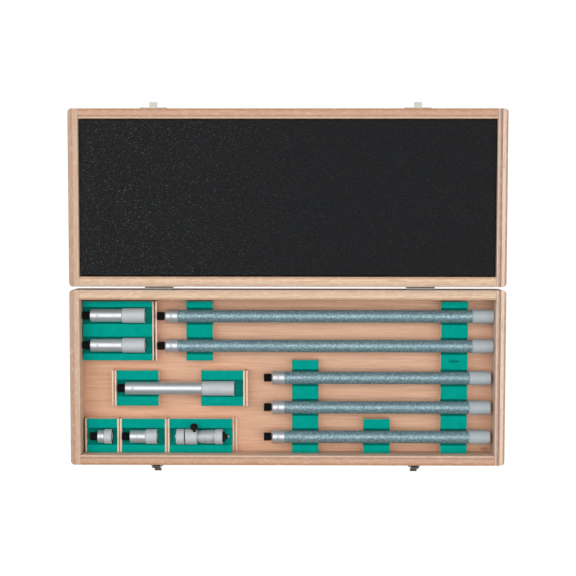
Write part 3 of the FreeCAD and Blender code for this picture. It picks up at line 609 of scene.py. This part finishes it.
def softened(node: str, width: float, segments: int = 2) -> Shape:
    """Copies a CAD node's solids and rounds their edges.

    Args:
        node: The CAD node.
        width: How far the rounding reaches from an edge, in millimetres.
        segments: How many steps the rounding has.

    Returns:
        The rounded shape.
    """
    mesh = merged_copy(node)
    flat, corner = math.radians(0.5), math.radians(40)
    bmesh.ops.dissolve_limit(mesh, angle_limit=flat, verts=mesh.verts, edges=mesh.edges)
    edges = [edge for edge in mesh.edges
             if len(edge.link_faces) == 2 and edge.calc_face_angle(0) > corner]
    bmesh.ops.bevel(mesh, geom=edges, offset=width * MM, segments=segments, affect="EDGES",
                    profile=0.5, material=-1, clamp_overlap=True)
    bmesh.ops.remove_doubles(mesh, verts=mesh.verts, dist=1e-7)
    return mesh


def islands(mesh: Shape) -> list[list[bmesh.types.BMVert]]:
    """Sorts a mesh's points into its separate solids, by X, then Y, then Z."""
    left = set(mesh.verts)
    groups = []
    while left:
        grown, edge = set(), {left.pop()}
        while edge:
            grown |= edge
            edge = {e.other_vert(v) for v in edge for e in v.link_edges} - grown
        left -= grown
        groups.append(list(grown))
    return sorted(groups, key=lambda verts: [min(v.co[axis] for v in verts) for axis in range(3)])


def lay_plies(mesh: Shape, axis: Axis, outwards: int = 1) -> Shape:
    """Gives each solid the attribute that Plywood reads.

    Args:
        mesh: The solids.
        axis: The direction that the plies are stacked in.
        outwards: 1 where the outer face has the lower coordinate, or -1.

    Returns:
        The same mesh.
    """
    layer = mesh.verts.layers.float.new("ply")
    for group in islands(mesh):
        low = min(vert.co[axis.value] for vert in group)
        high = max(vert.co[axis.value] for vert in group)
        for vert in group:
            share = (vert.co[axis.value] - low) / (high - low)
            vert[layer] = share if outwards > 0 else 1 - share
    return mesh


def wrapped(mesh: Shape, centre: Vector, distance: float, radius: float, angle: float = 0.0) -> Shape:
    """Wraps a flat shape round an axis along X.

    Args:
        mesh: The shape, flat on the XY plane.
        centre: A point of the axis, in metres.
        distance: How far along the axis the shape goes, in millimetres.
        radius: The radius that it lies on.
        angle: Its place round the axis, from the top towards +Y.

    Returns:
        The same mesh.
    """
    for vert in mesh.verts:
        around = angle + vert.co.y / (radius * MM)
        reach = radius * MM + vert.co.z
        vert.co = centre + Vector((vert.co.x + distance * MM, math.sin(around) * reach,
                                   math.cos(around) * reach))
    return mesh


def written(text: str, height: float, centre: Vector, distance: float, radius: float,
            angle: float = 0.0) -> Shape:
    """Makes plain figures as thin solids just above a turned surface, reading round it.

    Args:
        text: The figures.
        height: Their height in millimetres.
        centre: A point of the surface's axis, in metres.
        distance: How far along the axis they go, in millimetres.
        radius: The surface's radius.
        angle: Their place round the axis, from the top towards +Y.

    Returns:
        The figures' shape.
    """
    curve = bpy.data.curves.new("figures", "FONT")
    curve.body = text
    curve.size = height * MM * FONT_SCALE
    curve.extrude = FIGURE_DEPTH * MM
    curve.resolution_u = 3
    curve.align_x = "CENTER"
    curve.align_y = "CENTER"
    holder = bpy.data.objects.new("figures", curve)
    data = bpy.data.meshes.new_from_object(holder)
    mesh = bmesh.new()
    mesh.from_mesh(data)
    bmesh.ops.remove_doubles(mesh, verts=mesh.verts, dist=1e-8)
    bpy.data.objects.remove(holder)
    bpy.data.curves.remove(curve)
    bpy.data.meshes.remove(data)
    quarter = Matrix.Rotation(TURN / 4, 3, "Z")
    bmesh.ops.rotate(mesh, verts=mesh.verts, cent=(0, 0, 0), matrix=quarter)
    return wrapped(mesh, centre, distance, radius + FIGURE_LIFT, angle)


def stroke(length: float, width: float) -> Shape:
    """Makes a thin box round the origin, so long along X and so wide along Y in millimetres."""
    mesh = bmesh.new()
    bmesh.ops.create_cube(mesh, size=MM)
    bmesh.ops.scale(mesh, verts=mesh.verts, vec=(length, width, STROKE_DEPTH))
    return mesh


def round_node(node: str, shift: float = 0.0) -> tuple[Vector, float]:
    """Measures a round CAD node whose axis is along X.

    Args:
        node: The node.
        shift: How far right of its left end the centre goes, in millimetres.

    Returns:
        The centre on its axis, in metres, and its radius in millimetres.
    """
    low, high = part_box(node)
    middle = (low + high) / 2
    return Vector((low.x + shift * MM, middle.y, middle.z)), (high.z - low.z) / 2 / MM


# The case


@dataclass
class CaseHalf:
    """Four boards on a panel."""

    half: str
    body: str
    outer: int
    rounding: float = 0.5

    def boards(self) -> None:
        """Dresses the boards and the panel."""
        panel = "base_floor" if self.body == "case" else "lid_panel"
        for node, finish, axis, side in (
                (f"{self.half}_left_end", LEFT_BOARD, Axis.X, 1),
                (f"{self.half}_right_end", RIGHT_BOARD, Axis.X, -1),
                (f"{self.half}_front_board", FRONT_BOARD, Axis.Y, -self.outer),
                (f"{self.half}_back_board", HINGE_BOARD, Axis.Y, self.outer),
                (panel, FLOOR_WOOD, Axis.Z, 1)):
            mesh = lay_plies(softened(node, self.rounding), axis, side)
            finished(f"{node}_wood", mesh, finish, self.body, [node])


@dataclass
class LidFoam:
    """The foam slab in the lid, slightly uneven on top."""

    spacing: float = 5.0
    rounding: float = 1.0
    unevenness: float = 0.12
    wave: float = 14.0

    def build(self) -> None:
        """Makes a slab with a finely divided top, its rim rounded."""
        low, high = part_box("lid_foam")
        span, centre = high - low, (low + high) / 2
        mesh = bmesh.new()
        bmesh.ops.create_grid(mesh, x_segments=round(span.x / (self.spacing * MM)),
                              y_segments=round(span.y / (self.spacing * MM)), size=0.5)
        bmesh.ops.scale(mesh, verts=mesh.verts, vec=(span.x, span.y, 1))
        bmesh.ops.translate(mesh, verts=mesh.verts, vec=(centre.x, centre.y, low.z))
        top = bmesh.ops.extrude_face_region(mesh, geom=mesh.faces[:])["geom"]
        raised = [part for part in top if isinstance(part, bmesh.types.BMVert)]
        bmesh.ops.translate(mesh, verts=raised, vec=(0, 0, span.z))
        bmesh.ops.recalc_face_normals(mesh, faces=mesh.faces)
        rim = [edge for edge in mesh.edges
               if edge.calc_face_angle(0) > 1 and all(vert.co.z > centre.z for vert in edge.verts)]
        bmesh.ops.bevel(mesh, geom=rim, offset=self.rounding * MM, segments=3, affect="EDGES",
                        profile=0.5, material=-1)
        for vert in mesh.verts:
            if vert.co.z > high.z - MM * 0.01:
                swell = 0.5 + 0.5 * noise.noise(vert.co / (self.wave * MM))
                vert.co.z -= swell * self.unevenness * MM
        piece = finished("lid_foam_slab", mesh, FOAM, "lid", ["lid_foam"])


@dataclass
class Racks:
    """Wooden blocks lined with felt, and the plates between them."""

    rounding: float = 0.25

    def build(self) -> None:
        """Dresses blocks, felts and plates."""
        for node in ("long_rack_blocks", "pair_rack_block", "middle_rack_blocks", "front_rack_blocks"):
            finished(f"{node}_wood", lay_plies(softened(node, self.rounding), Axis.Y), RACK_WOOD,
                     "case", [node])
        for node in ("long_rack_felts", "short_rack_felts"):
            finished(f"{node}_nap", softened(node, self.rounding), FELT, "case", [node])
        # This plate's dark middle ply is painted shadow of a gap.
        self.plates("pair_rack_plate", PAIR_WOOD_AND_PAINTED_GAP_SHADE, True)
        self.plates("rack_plates_wood", PLATE_WOOD, False)

    def plates(self, name: str, finish: Plywood, furthest_back: bool) -> None:
        """Dresses the plate that lies furthest back, or all the others.

        Args:
            name: The piece's name.
            finish: Its surface.
            furthest_back: Whether to keep only the plate furthest back.
        """
        mesh = softened("rack_plates", self.rounding)
        groups = islands(mesh)
        back = max(groups, key=lambda verts: max(vert.co.y for vert in verts))
        unwanted = [vert for group in groups if (group is back) != furthest_back for vert in group]
        bmesh.ops.delete(mesh, geom=unwanted, context="VERTS")
        finished(name, lay_plies(mesh, Axis.X), finish, "case", ["rack_plates"])


# Hinges and latches


@dataclass
class Ironmongery:
    """Plated sheet, wire, pins and screws."""

    rounding: float = 0.12
    slot_width: float = 0.45
    slot_depth: float = 0.45
    slot_wall: float = 0.03
    slot_angle: float = 0.7
    slot_step: float = 1.9
    shank_share: float = 0.6
    cone_share: float = 0.45
    dome_rise: float = 0.6

    def build(self) -> None:
        """Dresses hinges, latches and keepers."""
        for node, body, finish in (
                ("base_hinge_leaves", "case", HINGE_STEEL), ("lid_hinge_leaves", "lid", HINGE_STEEL),
                # The levers' dark finish is painted reflection on nickel plate.
                ("latch_plates", "case", NICKEL), ("left_latch_lever", "left_lever", LEVER_PAINTED_DARK_REFLECTION),
                ("right_latch_lever", "right_lever", LEVER_PAINTED_DARK_REFLECTION), ("lid_keepers", "lid", NICKEL)):
            finished(f"{node}_sheet", softened(node, self.rounding, 1), finish, body, [node])
        for node, body in (("hinge_pins", "case"), ("latch_pins", "case"),
                           ("left_latch_bail", "left_bail"), ("right_latch_bail", "right_bail")):
            finished(f"{node}_wire", merged_copy(node), NICKEL, body, [node])
        for node, body, outwards in (("latch_screws", "case", -1), ("keeper_screws", "lid", 1),
                                     ("base_hinge_screws", "case", 1), ("lid_hinge_screws", "lid", -1)):
            domed = "hinge" not in node
            finished(f"{node}_slotted", self.screws(node, outwards, domed), NICKEL, body, [node])

    def screws(self, node: str, outwards: int, domed: bool) -> Shape:
        """Makes the slotted screws of one CAD node.

        Args:
            node: The CAD node, one solid a screw.
            outwards: Which way along Y the heads face.
            domed: Whether the heads stand proud, or are flush.

        Returns:
            The screws' shape.
        """
        made = []
        source = merged_copy(node)
        for count, group in enumerate(islands(source)):
            xs, ys, zs = ([vert.co[axis] for vert in group] for axis in range(3))
            face = max(ys) if outwards > 0 else min(ys)
            length = (max(ys) - min(ys)) / MM
            head = (max(xs) - min(xs)) / 2 / MM
            shank = head * self.shank_share
            rise, cone = 0.0, head * self.cone_share
            top = [(0, 0), (0, head / 2), (0, head)]
            if domed:
                rise, cone = self.dome_rise, 0.0
                top = [(rise * (1 - (step / 6) ** 2), head * step / 6) for step in range(7)]
            tail = [(-cone, shank), (rise + shank - length, shank), (rise - length, 0)]
            mesh = spun(top + tail, Vector((0, 0, 0)), 32)
            self.cut_slot(mesh)
            slot_turn = Matrix.Rotation(self.slot_angle + self.slot_step * count, 4, "X")
            turn = Matrix.Rotation(outwards * TURN / 4, 4, "Z") @ slot_turn
            place = Matrix.Translation(((max(xs) + min(xs)) / 2, face - outwards * rise * MM,
                                        (max(zs) + min(zs)) / 2))
            bmesh.ops.transform(mesh, matrix=place @ turn, verts=mesh.verts)
            made.append(mesh)
        source.free()
        return joined(*made)

    def cut_slot(self, mesh: Shape) -> None:
        """Sinks a straight slot into a head that faces +X."""
        half = self.slot_width / 2 * MM
        wall = self.slot_wall * MM
        for place in (-half - wall, -half, half, half + wall):
            bmesh.ops.bisect_plane(mesh, geom=[*mesh.verts, *mesh.edges, *mesh.faces],
                                   plane_co=(0, place, 0), plane_no=(0, 1, 0))
        floor = -self.slot_depth * MM / 2
        for vert in mesh.verts:
            if abs(vert.co.y) < half + wall / 2 and vert.co.x > floor:
                vert.co.x = floor


# Pipes


@dataclass
class Nipple:
    """A screwed end in front of a shoulder, with a plain neck between them."""

    free_end: float = -7.3
    shoulder: float = 0.0
    bore: float = PIPE_BORE
    segments: int = 64
    radius: float = 4.0
    neck: float = 1.3
    neck_radius: float = 3.3
    overlap: float = 0.2
    tuck: float = 0.3

    def build(self, name: str, centre: Vector, nodes: Sequence[str]) -> None:
        """Makes the thread and the neck."""
        root, end = self.shoulder - self.neck, self.shoulder + self.tuck
        start = root - self.overlap
        screw = thread(centre, self.free_end, root, self.radius, self.bore)
        neck = spun([(start, self.bore), (start, self.neck_radius), (end, self.neck_radius),
                     (end, self.bore)], centre, self.segments)
        finished(name, joined(screw, neck), BLACK, "case", nodes)


@dataclass
class Grip:
    """A knurled band with bevelled ends and a threaded hole in its right-hand face."""

    start: float
    stop: float
    radius: float
    socket: float = 8.2
    inset: float = 0.0
    mouth: float = 0.25
    lip: float = 0.1
    ring_play: float = 0.02

    def painted_shade_ring(self, centre: Vector) -> Shape:
        """Makes the flat ring that fills the recess in the grip's right-hand face; its black is painted
        shade.
        """
        outer = self.radius - BEVEL - self.lip - self.ring_play
        floor = self.stop - self.inset + self.ring_play / 2
        return spun([(floor, SOCKET_RADIUS), (floor, outer), (self.stop, outer),
                     (self.stop, SOCKET_RADIUS)], centre)

    def shape(self, centre: Vector) -> Shape:
        """Makes the grip, its places measured from the centre."""
        floor = self.stop - self.socket
        mouth = [(self.stop, SOCKET_RADIUS + self.mouth), (self.stop - self.mouth, SOCKET_RADIUS)]
        if self.inset:
            lip, step = self.radius - BEVEL - self.lip, self.stop - self.inset
            mouth = [(self.stop, lip), (step, lip), (step, SOCKET_RADIUS)]
        return knurled(centre, [(self.start, PIPE_BORE)], self.start, self.stop, self.radius,
                       [*mouth, (floor, SOCKET_RADIUS), (floor, PIPE_BORE)])


def barrel(centre: Vector, length: float, radius: float, slope: tuple[float, float]) -> Shape:
    """Turns a hollow barrel with a slope at its shoulder and a chamfer at its other end.

    Args:
        centre: The middle of its shoulder, in metres.
        length: Its length in millimetres.
        radius: Its radius.
        slope: How long and how deep the slope is.

    Returns:
        The barrel's shape.
    """
    return spun([(0, PIPE_BORE), (0, radius - slope[1]), (slope[0], radius), (length - CHAMFER, radius),
                 (length, radius - CHAMFER), (length, PIPE_BORE)], centre, FINE_STEPS)


@dataclass
class LongPipe:
    """A painted tube with a chromed front ring and a knurled collar."""

    word: str
    size: int
    wall: float = 0.9
    ring: float = 11.8
    ring_radius: float = 6.3
    slope: tuple[float, float] = (1.0, 1.2)
    collar: float = 19.5
    collar_radius: float = 6.5
    figure_height: float = 2.2

    def build(self) -> None:
        """Makes the tube, ring, nipple, collar and the size on the ring."""
        node = f"pipe_tube_{self.word}"
        centre, radius = round_node(node, -self.ring)
        mouth = (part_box(node)[1].x - centre.x) / MM
        inner = radius - self.wall
        tube = [(self.ring, inner), (self.ring, radius), (mouth, radius), (mouth, inner)]
        finished(f"{node}_painted", spun(tube, centre, FINE_STEPS), TUBE_PAINT, "case", [node])
        ring = barrel(centre, self.ring, self.ring_radius, self.slope)
        finished(f"pipe_ring_{self.word}", ring, SATIN, "case", ["pipe_rings"])
        Nipple().build(f"pipe_{self.word}_nipple", centre, ["pipe_rings"])
        collar = Grip(mouth, mouth + self.collar, self.collar_radius)
        finished(f"pipe_collar_{self.word}", collar.shape(centre), DULL, "case", ["pipe_collars"])
        figures = written(str(self.size), self.figure_height, centre, self.ring / 2, self.ring_radius)
        finished(f"pipe_size_{self.word}", figures, FAINT_INK, "case")


@dataclass
class ShortPipe:
    """A one-piece pipe: a smooth body with a knurled grip at its right-hand end."""

    word: str
    size: int
    knurl_length: float
    nipple: float = 7.3
    body_radius: float = 6.0
    socket: float = 8.2
    inset: float = 0.3
    figure_height: float = 2.0
    figure_place: float = 7.0

    def build(self) -> None:
        """Makes the body, nipple, grip and the size on the body."""
        node = f"short_pipe_{self.word}"
        centre, radius = round_node(node, self.nipple)
        turn = self.size - self.knurl_length
        body = barrel(centre, turn, self.body_radius, (BEVEL, BEVEL))
        finished(f"{node}_body", body, SATIN, "case", [node])
        Nipple().build(f"{node}_nipple", centre, [node])
        socket = min(self.socket, self.knurl_length - 0.5)
        grip = Grip(turn, float(self.size), radius, socket, self.inset)
        finished(f"{node}_grip", grip.shape(centre), KNURLED, "case", [node])
        # The black end ring is painted shade on the grip's ground steel end face.
        finished(f"{node}_end", grip.painted_shade_ring(centre), BLACK, "case", [node])
        figures = written(str(self.size), self.figure_height, centre, min(turn / 2, self.figure_place),
                          self.body_radius)
        finished(f"{node}_size", figures, FAINT_INK, "case")


# Micrometer head


@dataclass
class Head:
    """The micrometer head, from its fixed contact to its spindle's contact."""

    radius: float = 7.2
    bore: float = 2.28
    divisions: int = 50
    travel: int = 13
    line_width: float = 0.12

    def ends(self, node: str) -> tuple[float, float]:
        """Gives a node's left and right end in millimetres from the contact's tip."""
        low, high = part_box(node)
        return (low.x - self.centre.x) / MM, (high.x - self.centre.x) / MM

    def build(self) -> None:
        """Makes the head's pieces, apart from those that keep their CAD mesh."""
        self.centre, _ = round_node("measuring_cap")
        self.centre.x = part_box("cap_contact")[0].x
        start, stop = self.ends("measuring_cap")
        pin = 1.5
        floor = start + 1.5
        cap = knurled(self.centre, [(start, pin)], start, stop, self.radius,
                      [(stop, SOCKET_RADIUS), (floor, SOCKET_RADIUS), (floor, pin)])
        finished("measuring_cap_knurled", cap, KNURLED, "case", ["measuring_cap"])
        stub, end = self.ends("head_body")
        face = stop + 0.9
        body = knurled(self.centre, [(face, self.bore)], face, end, self.radius, [(end, self.bore)])
        finished("head_body_knurled", body, KNURLED, "case", ["head_body"])
        Nipple(stub, face, self.bore, 48).build("head_stem", self.centre, ["head_body"])
        self.thimble()
        self.sleeve_scale()
        self.clamp()

    def thimble(self) -> None:
        """Makes the thimble with its bevel, grip and graduations, and the dark cap."""
        start, stop = self.ends("thimble")
        grip_radius = (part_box("thimble")[1].z - self.centre.z) / MM
        bevel, bore, hole, barrel = 6.2, 5.28, 1.68, 6.3
        rim, bevel_end, grip = bore + 0.2, start + bevel, stop - 6.9
        shape = knurled(self.centre, [(grip, hole)], grip, stop, grip_radius, [(stop, hole)])
        finished("thimble_grip", shape, KNURLED, "thimble", ["thimble"])
        overlap = grip + 0.1
        outline = [(start, bore), (start, rim), (bevel_end, barrel), (overlap, barrel), (overlap, bore)]
        finished("thimble_barrel", spun(outline, self.centre, FINE_STEPS), THIMBLE_SATIN, "thimble",
                 ["thimble"])
        slope = Matrix.Rotation(-math.atan2(barrel - rim, bevel), 4, "Y")
        lines = []
        for mark in range(self.divisions):
            reach = 2.2 if mark % 5 else 3.6
            line = stroke(reach, 0.13)
            bmesh.ops.translate(line, verts=line.verts, vec=(reach / 2 * MM, 0, 0))
            turn = (Matrix.Rotation(-TURN * mark / self.divisions, 4, "X")
                    @ Matrix.Translation((start * MM, 0, rim * MM)) @ slope)
            bmesh.ops.transform(line, verts=line.verts, matrix=Matrix.Translation(self.centre) @ turn)
            lines.append(line)
        for mark in range(0, self.divisions, 5):
            lines.append(written(str(mark), 1.5, self.centre, bevel_end + 1.4, barrel,
                                 TURN * mark / self.divisions))
        lines.append(written("50-63", 1.9, self.centre, grip - 1.7, barrel, -0.15))
        finished("thimble_scale", joined(*lines), DARK_INK, "thimble")

        _, end = self.ends("thimble_cap")
        edge, nose, ramp = 4.7, 2.3, stop + 2.3
        cap = [(stop, hole), (stop, edge), (stop + 2.1, edge), (ramp, edge - CHAMFER), (ramp, nose),
               (end - CHAMFER, 2.2), (end, 1.9), (end, hole)]
        finished("thimble_cap_black", spun(cap, self.centre), BLACK, "thimble", ["thimble_cap"])

    def sleeve_scale(self) -> None:
        """Makes the sleeve's line and graduations, which the thimble uncovers."""
        start, _ = self.ends("thimble")
        _, radius = round_node("sleeve")
        marks = []
        for step in range(self.travel + 1):
            reach = 1.3 if step % 5 else 2.0
            mark = stroke(self.line_width, reach)
            sides = [edge for edge in mark.edges
                     if abs(edge.verts[0].co.y - edge.verts[1].co.y) > 1e-6]
            bmesh.ops.subdivide_edges(mark, edges=sides, cuts=4)
            bmesh.ops.translate(mark, verts=mark.verts, vec=(0, reach / 2 * MM, 0))
            marks.append(wrapped(mark, self.centre, start + step, radius))
            if step and step % 5 == 0:
                marks.append(written(str(step), 1.4, self.centre, start + step, radius, 0.55))
        line = stroke(self.travel + 0.6, self.line_width)
        marks.append(wrapped(line, self.centre, start + self.travel / 2, radius))
        finished("sleeve_scale", joined(*marks), DARK_INK, "case")

    def clamp(self) -> None:
        """Makes the clamp screw, a black knob with a straight-cut rim."""
        joint = next(j for j in frame["joints"] if j["name"] == "clamp_turn")
        centre, axis = Vector(joint["pos_m"]), Vector(joint["axis"]).normalized()
        steps, cut = 72, 0.2
        foot, shank, knob, inner, outer = 3.6, 1.5, 3.5, 10.7, 13.7
        dish = outer - 0.35
        outline = [(foot, 0), (foot, shank), (inner, shank), (inner, knob - BEVEL),
                   (inner + BEVEL, knob), (outer - BEVEL, knob), (outer, knob - BEVEL),
                   (outer, 1.6), (dish, 1.3), (dish, 0)]
        mesh = spun(outline, Vector((0, 0, 0)), steps)
        for vert in mesh.verts:
            step = round(math.atan2(vert.co.y, vert.co.z) / TURN * steps)
            if math.hypot(vert.co.y, vert.co.z) > (knob - 0.05) * MM and step % 2:
                vert.co.yz = vert.co.yz * (1 - cut / knob)
        turn = Vector((1, 0, 0)).rotation_difference(axis).to_matrix().to_4x4()
        bmesh.ops.transform(mesh, verts=mesh.verts, matrix=Matrix.Translation(centre) @ turn)
        finished("clamp_knob", mesh, BLACK, "clamp", ["clamp_screw"])


# Stage


@dataclass
class Studio:
    """A white floor, soft lamps, and the camera high up and a little over the lid's side."""

    eye: tuple[float, float, float] = (0.00934, 0.05799, 1.02568)
    turn: tuple[float, float, float] = (0.0575, -0.0088, -0.0013)
    lens: float = 69.34
    sensor: float = 36.0
    world: float = 0.235
    whiteness: float = 0.9

    def floor(self) -> None:
        """Lays a wide floor that the camera sees as white and that keeps shadows."""
        mesh = bmesh.new()
        bmesh.ops.create_grid(mesh, x_segments=1, y_segments=1, size=6.0)
        bmesh.ops.translate(mesh, verts=mesh.verts, vec=(0, 0, -0.0002))
        data = bpy.data.meshes.new("floor")
        mesh.to_mesh(data)
        mesh.free()
        shader = Shader("floor_white")
        shader.set(Base_Color=(0.86, 0.86, 0.86), Roughness=0.9, Specular_IOR_Level=0.1)
        camera, glossy, through = (shader.make("ShaderNodeLightPath", output=f"Is {word} Ray")
                                   for word in ("Camera", "Glossy", "Transmission"))
        seen = camera.math("MAXIMUM", glossy.math("MAXIMUM", through))
        shader.set(Emission_Color=(1, 1, 1), Emission_Strength=0.0)
        glow = shader.make("ShaderNodeEmission", {}, {"Color": (1, 1, 1), "Strength": 1.1})
        blend = shader.make("ShaderNodeMixShader", {}, {0: seen * self.whiteness, 2: glow})
        shader.tree.links.new(shader.surface.outputs[0], blend.socket.node.inputs[1])
        output = shader.tree.nodes["Material Output"]
        shader.tree.links.new(blend.socket, output.inputs["Surface"])
        data.materials.append(shader.material)
        placed("floor", data)

    def lamp(self, name: str, place: Sequence[float], size: tuple[float, float], power: float) -> None:
        """Hangs a soft rectangular lamp that points at the middle of the case."""
        data = bpy.data.lights.new(name, "AREA")
        data.shape = "RECTANGLE"
        data.size, data.size_y = size
        data.energy = power
        lamp = placed(name, data)
        lamp.location = place
        lamp.rotation_euler = (-Vector(place)).to_track_quat("-Z", "Y").to_euler()

    def build(self) -> None:
        """Sets the stage."""
        scene = bpy.context.scene
        scene.view_settings.view_transform = "Standard"
        self.floor()
        world = bpy.data.worlds.new("soft_room")
        world.use_nodes = True
        background = world.node_tree.nodes["Background"]
        background.inputs["Color"].default_value = (1, 1, 1, 1)
        background.inputs["Strength"].default_value = self.world
        scene.world = world
        self.lamp("overhead", (0.0, 0.1, 1.4), (2.2, 1.3), 17.4)
        self.lamp("left_side", (-1.2, 0.5, 1.1), (0.8, 0.8), 5.8)
        self.lamp("right_side", (1.2, -0.3, 1.0), (0.8, 0.8), 5.0)
        data = bpy.data.cameras.new("camera")
        data.sensor_width = self.sensor
        data.lens = self.lens
        camera = placed("camera", data)
        turn = Euler(self.turn).to_matrix().transposed()
        camera.matrix_world = Matrix.Translation(self.eye) @ turn.to_4x4()
        scene.camera = camera


def dress_plain_nodes() -> None:
    """Gives the CAD nodes that keep their own mesh a better surface."""
    for node, finish in (("long_gauge_rods", GROUND), ("short_gauge_rods", GROUND),
                         ("cap_contact", GROUND), ("spindle", GROUND), ("adjusting_nut", GROUND),
                         ("sleeve", SATIN), ("clamp_pad", BRASS)):
        data = frame["nodes"][node].data
        data.materials.clear()
        data.materials.append(finish.material())


def main() -> None:
    """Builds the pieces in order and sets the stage."""
    logging.basicConfig(level=logging.INFO, format="%(message)s")
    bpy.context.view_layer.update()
    CaseHalf("base", "case", -1).boards()
    CaseHalf("lid", "lid", 1).boards()
    LidFoam().build()
    Racks().build()
    Ironmongery().build()
    for word, size in (("one", 300), ("two", 300), ("three", 200), ("four", 200), ("five", 200)):
        LongPipe(word, size).build()
    for word, size, grip in (("thirteen", 13, 6.9), ("twentyfive", 25, 10.6), ("fifty_back", 50, 20.9),
                             ("fifty_front", 50, 20.9), ("hundred", 100, 29.6)):
        ShortPipe(word, size, grip).build()
    Head().build()
    dress_plain_nodes()
    Studio().build()


if __name__ == "__main__":
    main()
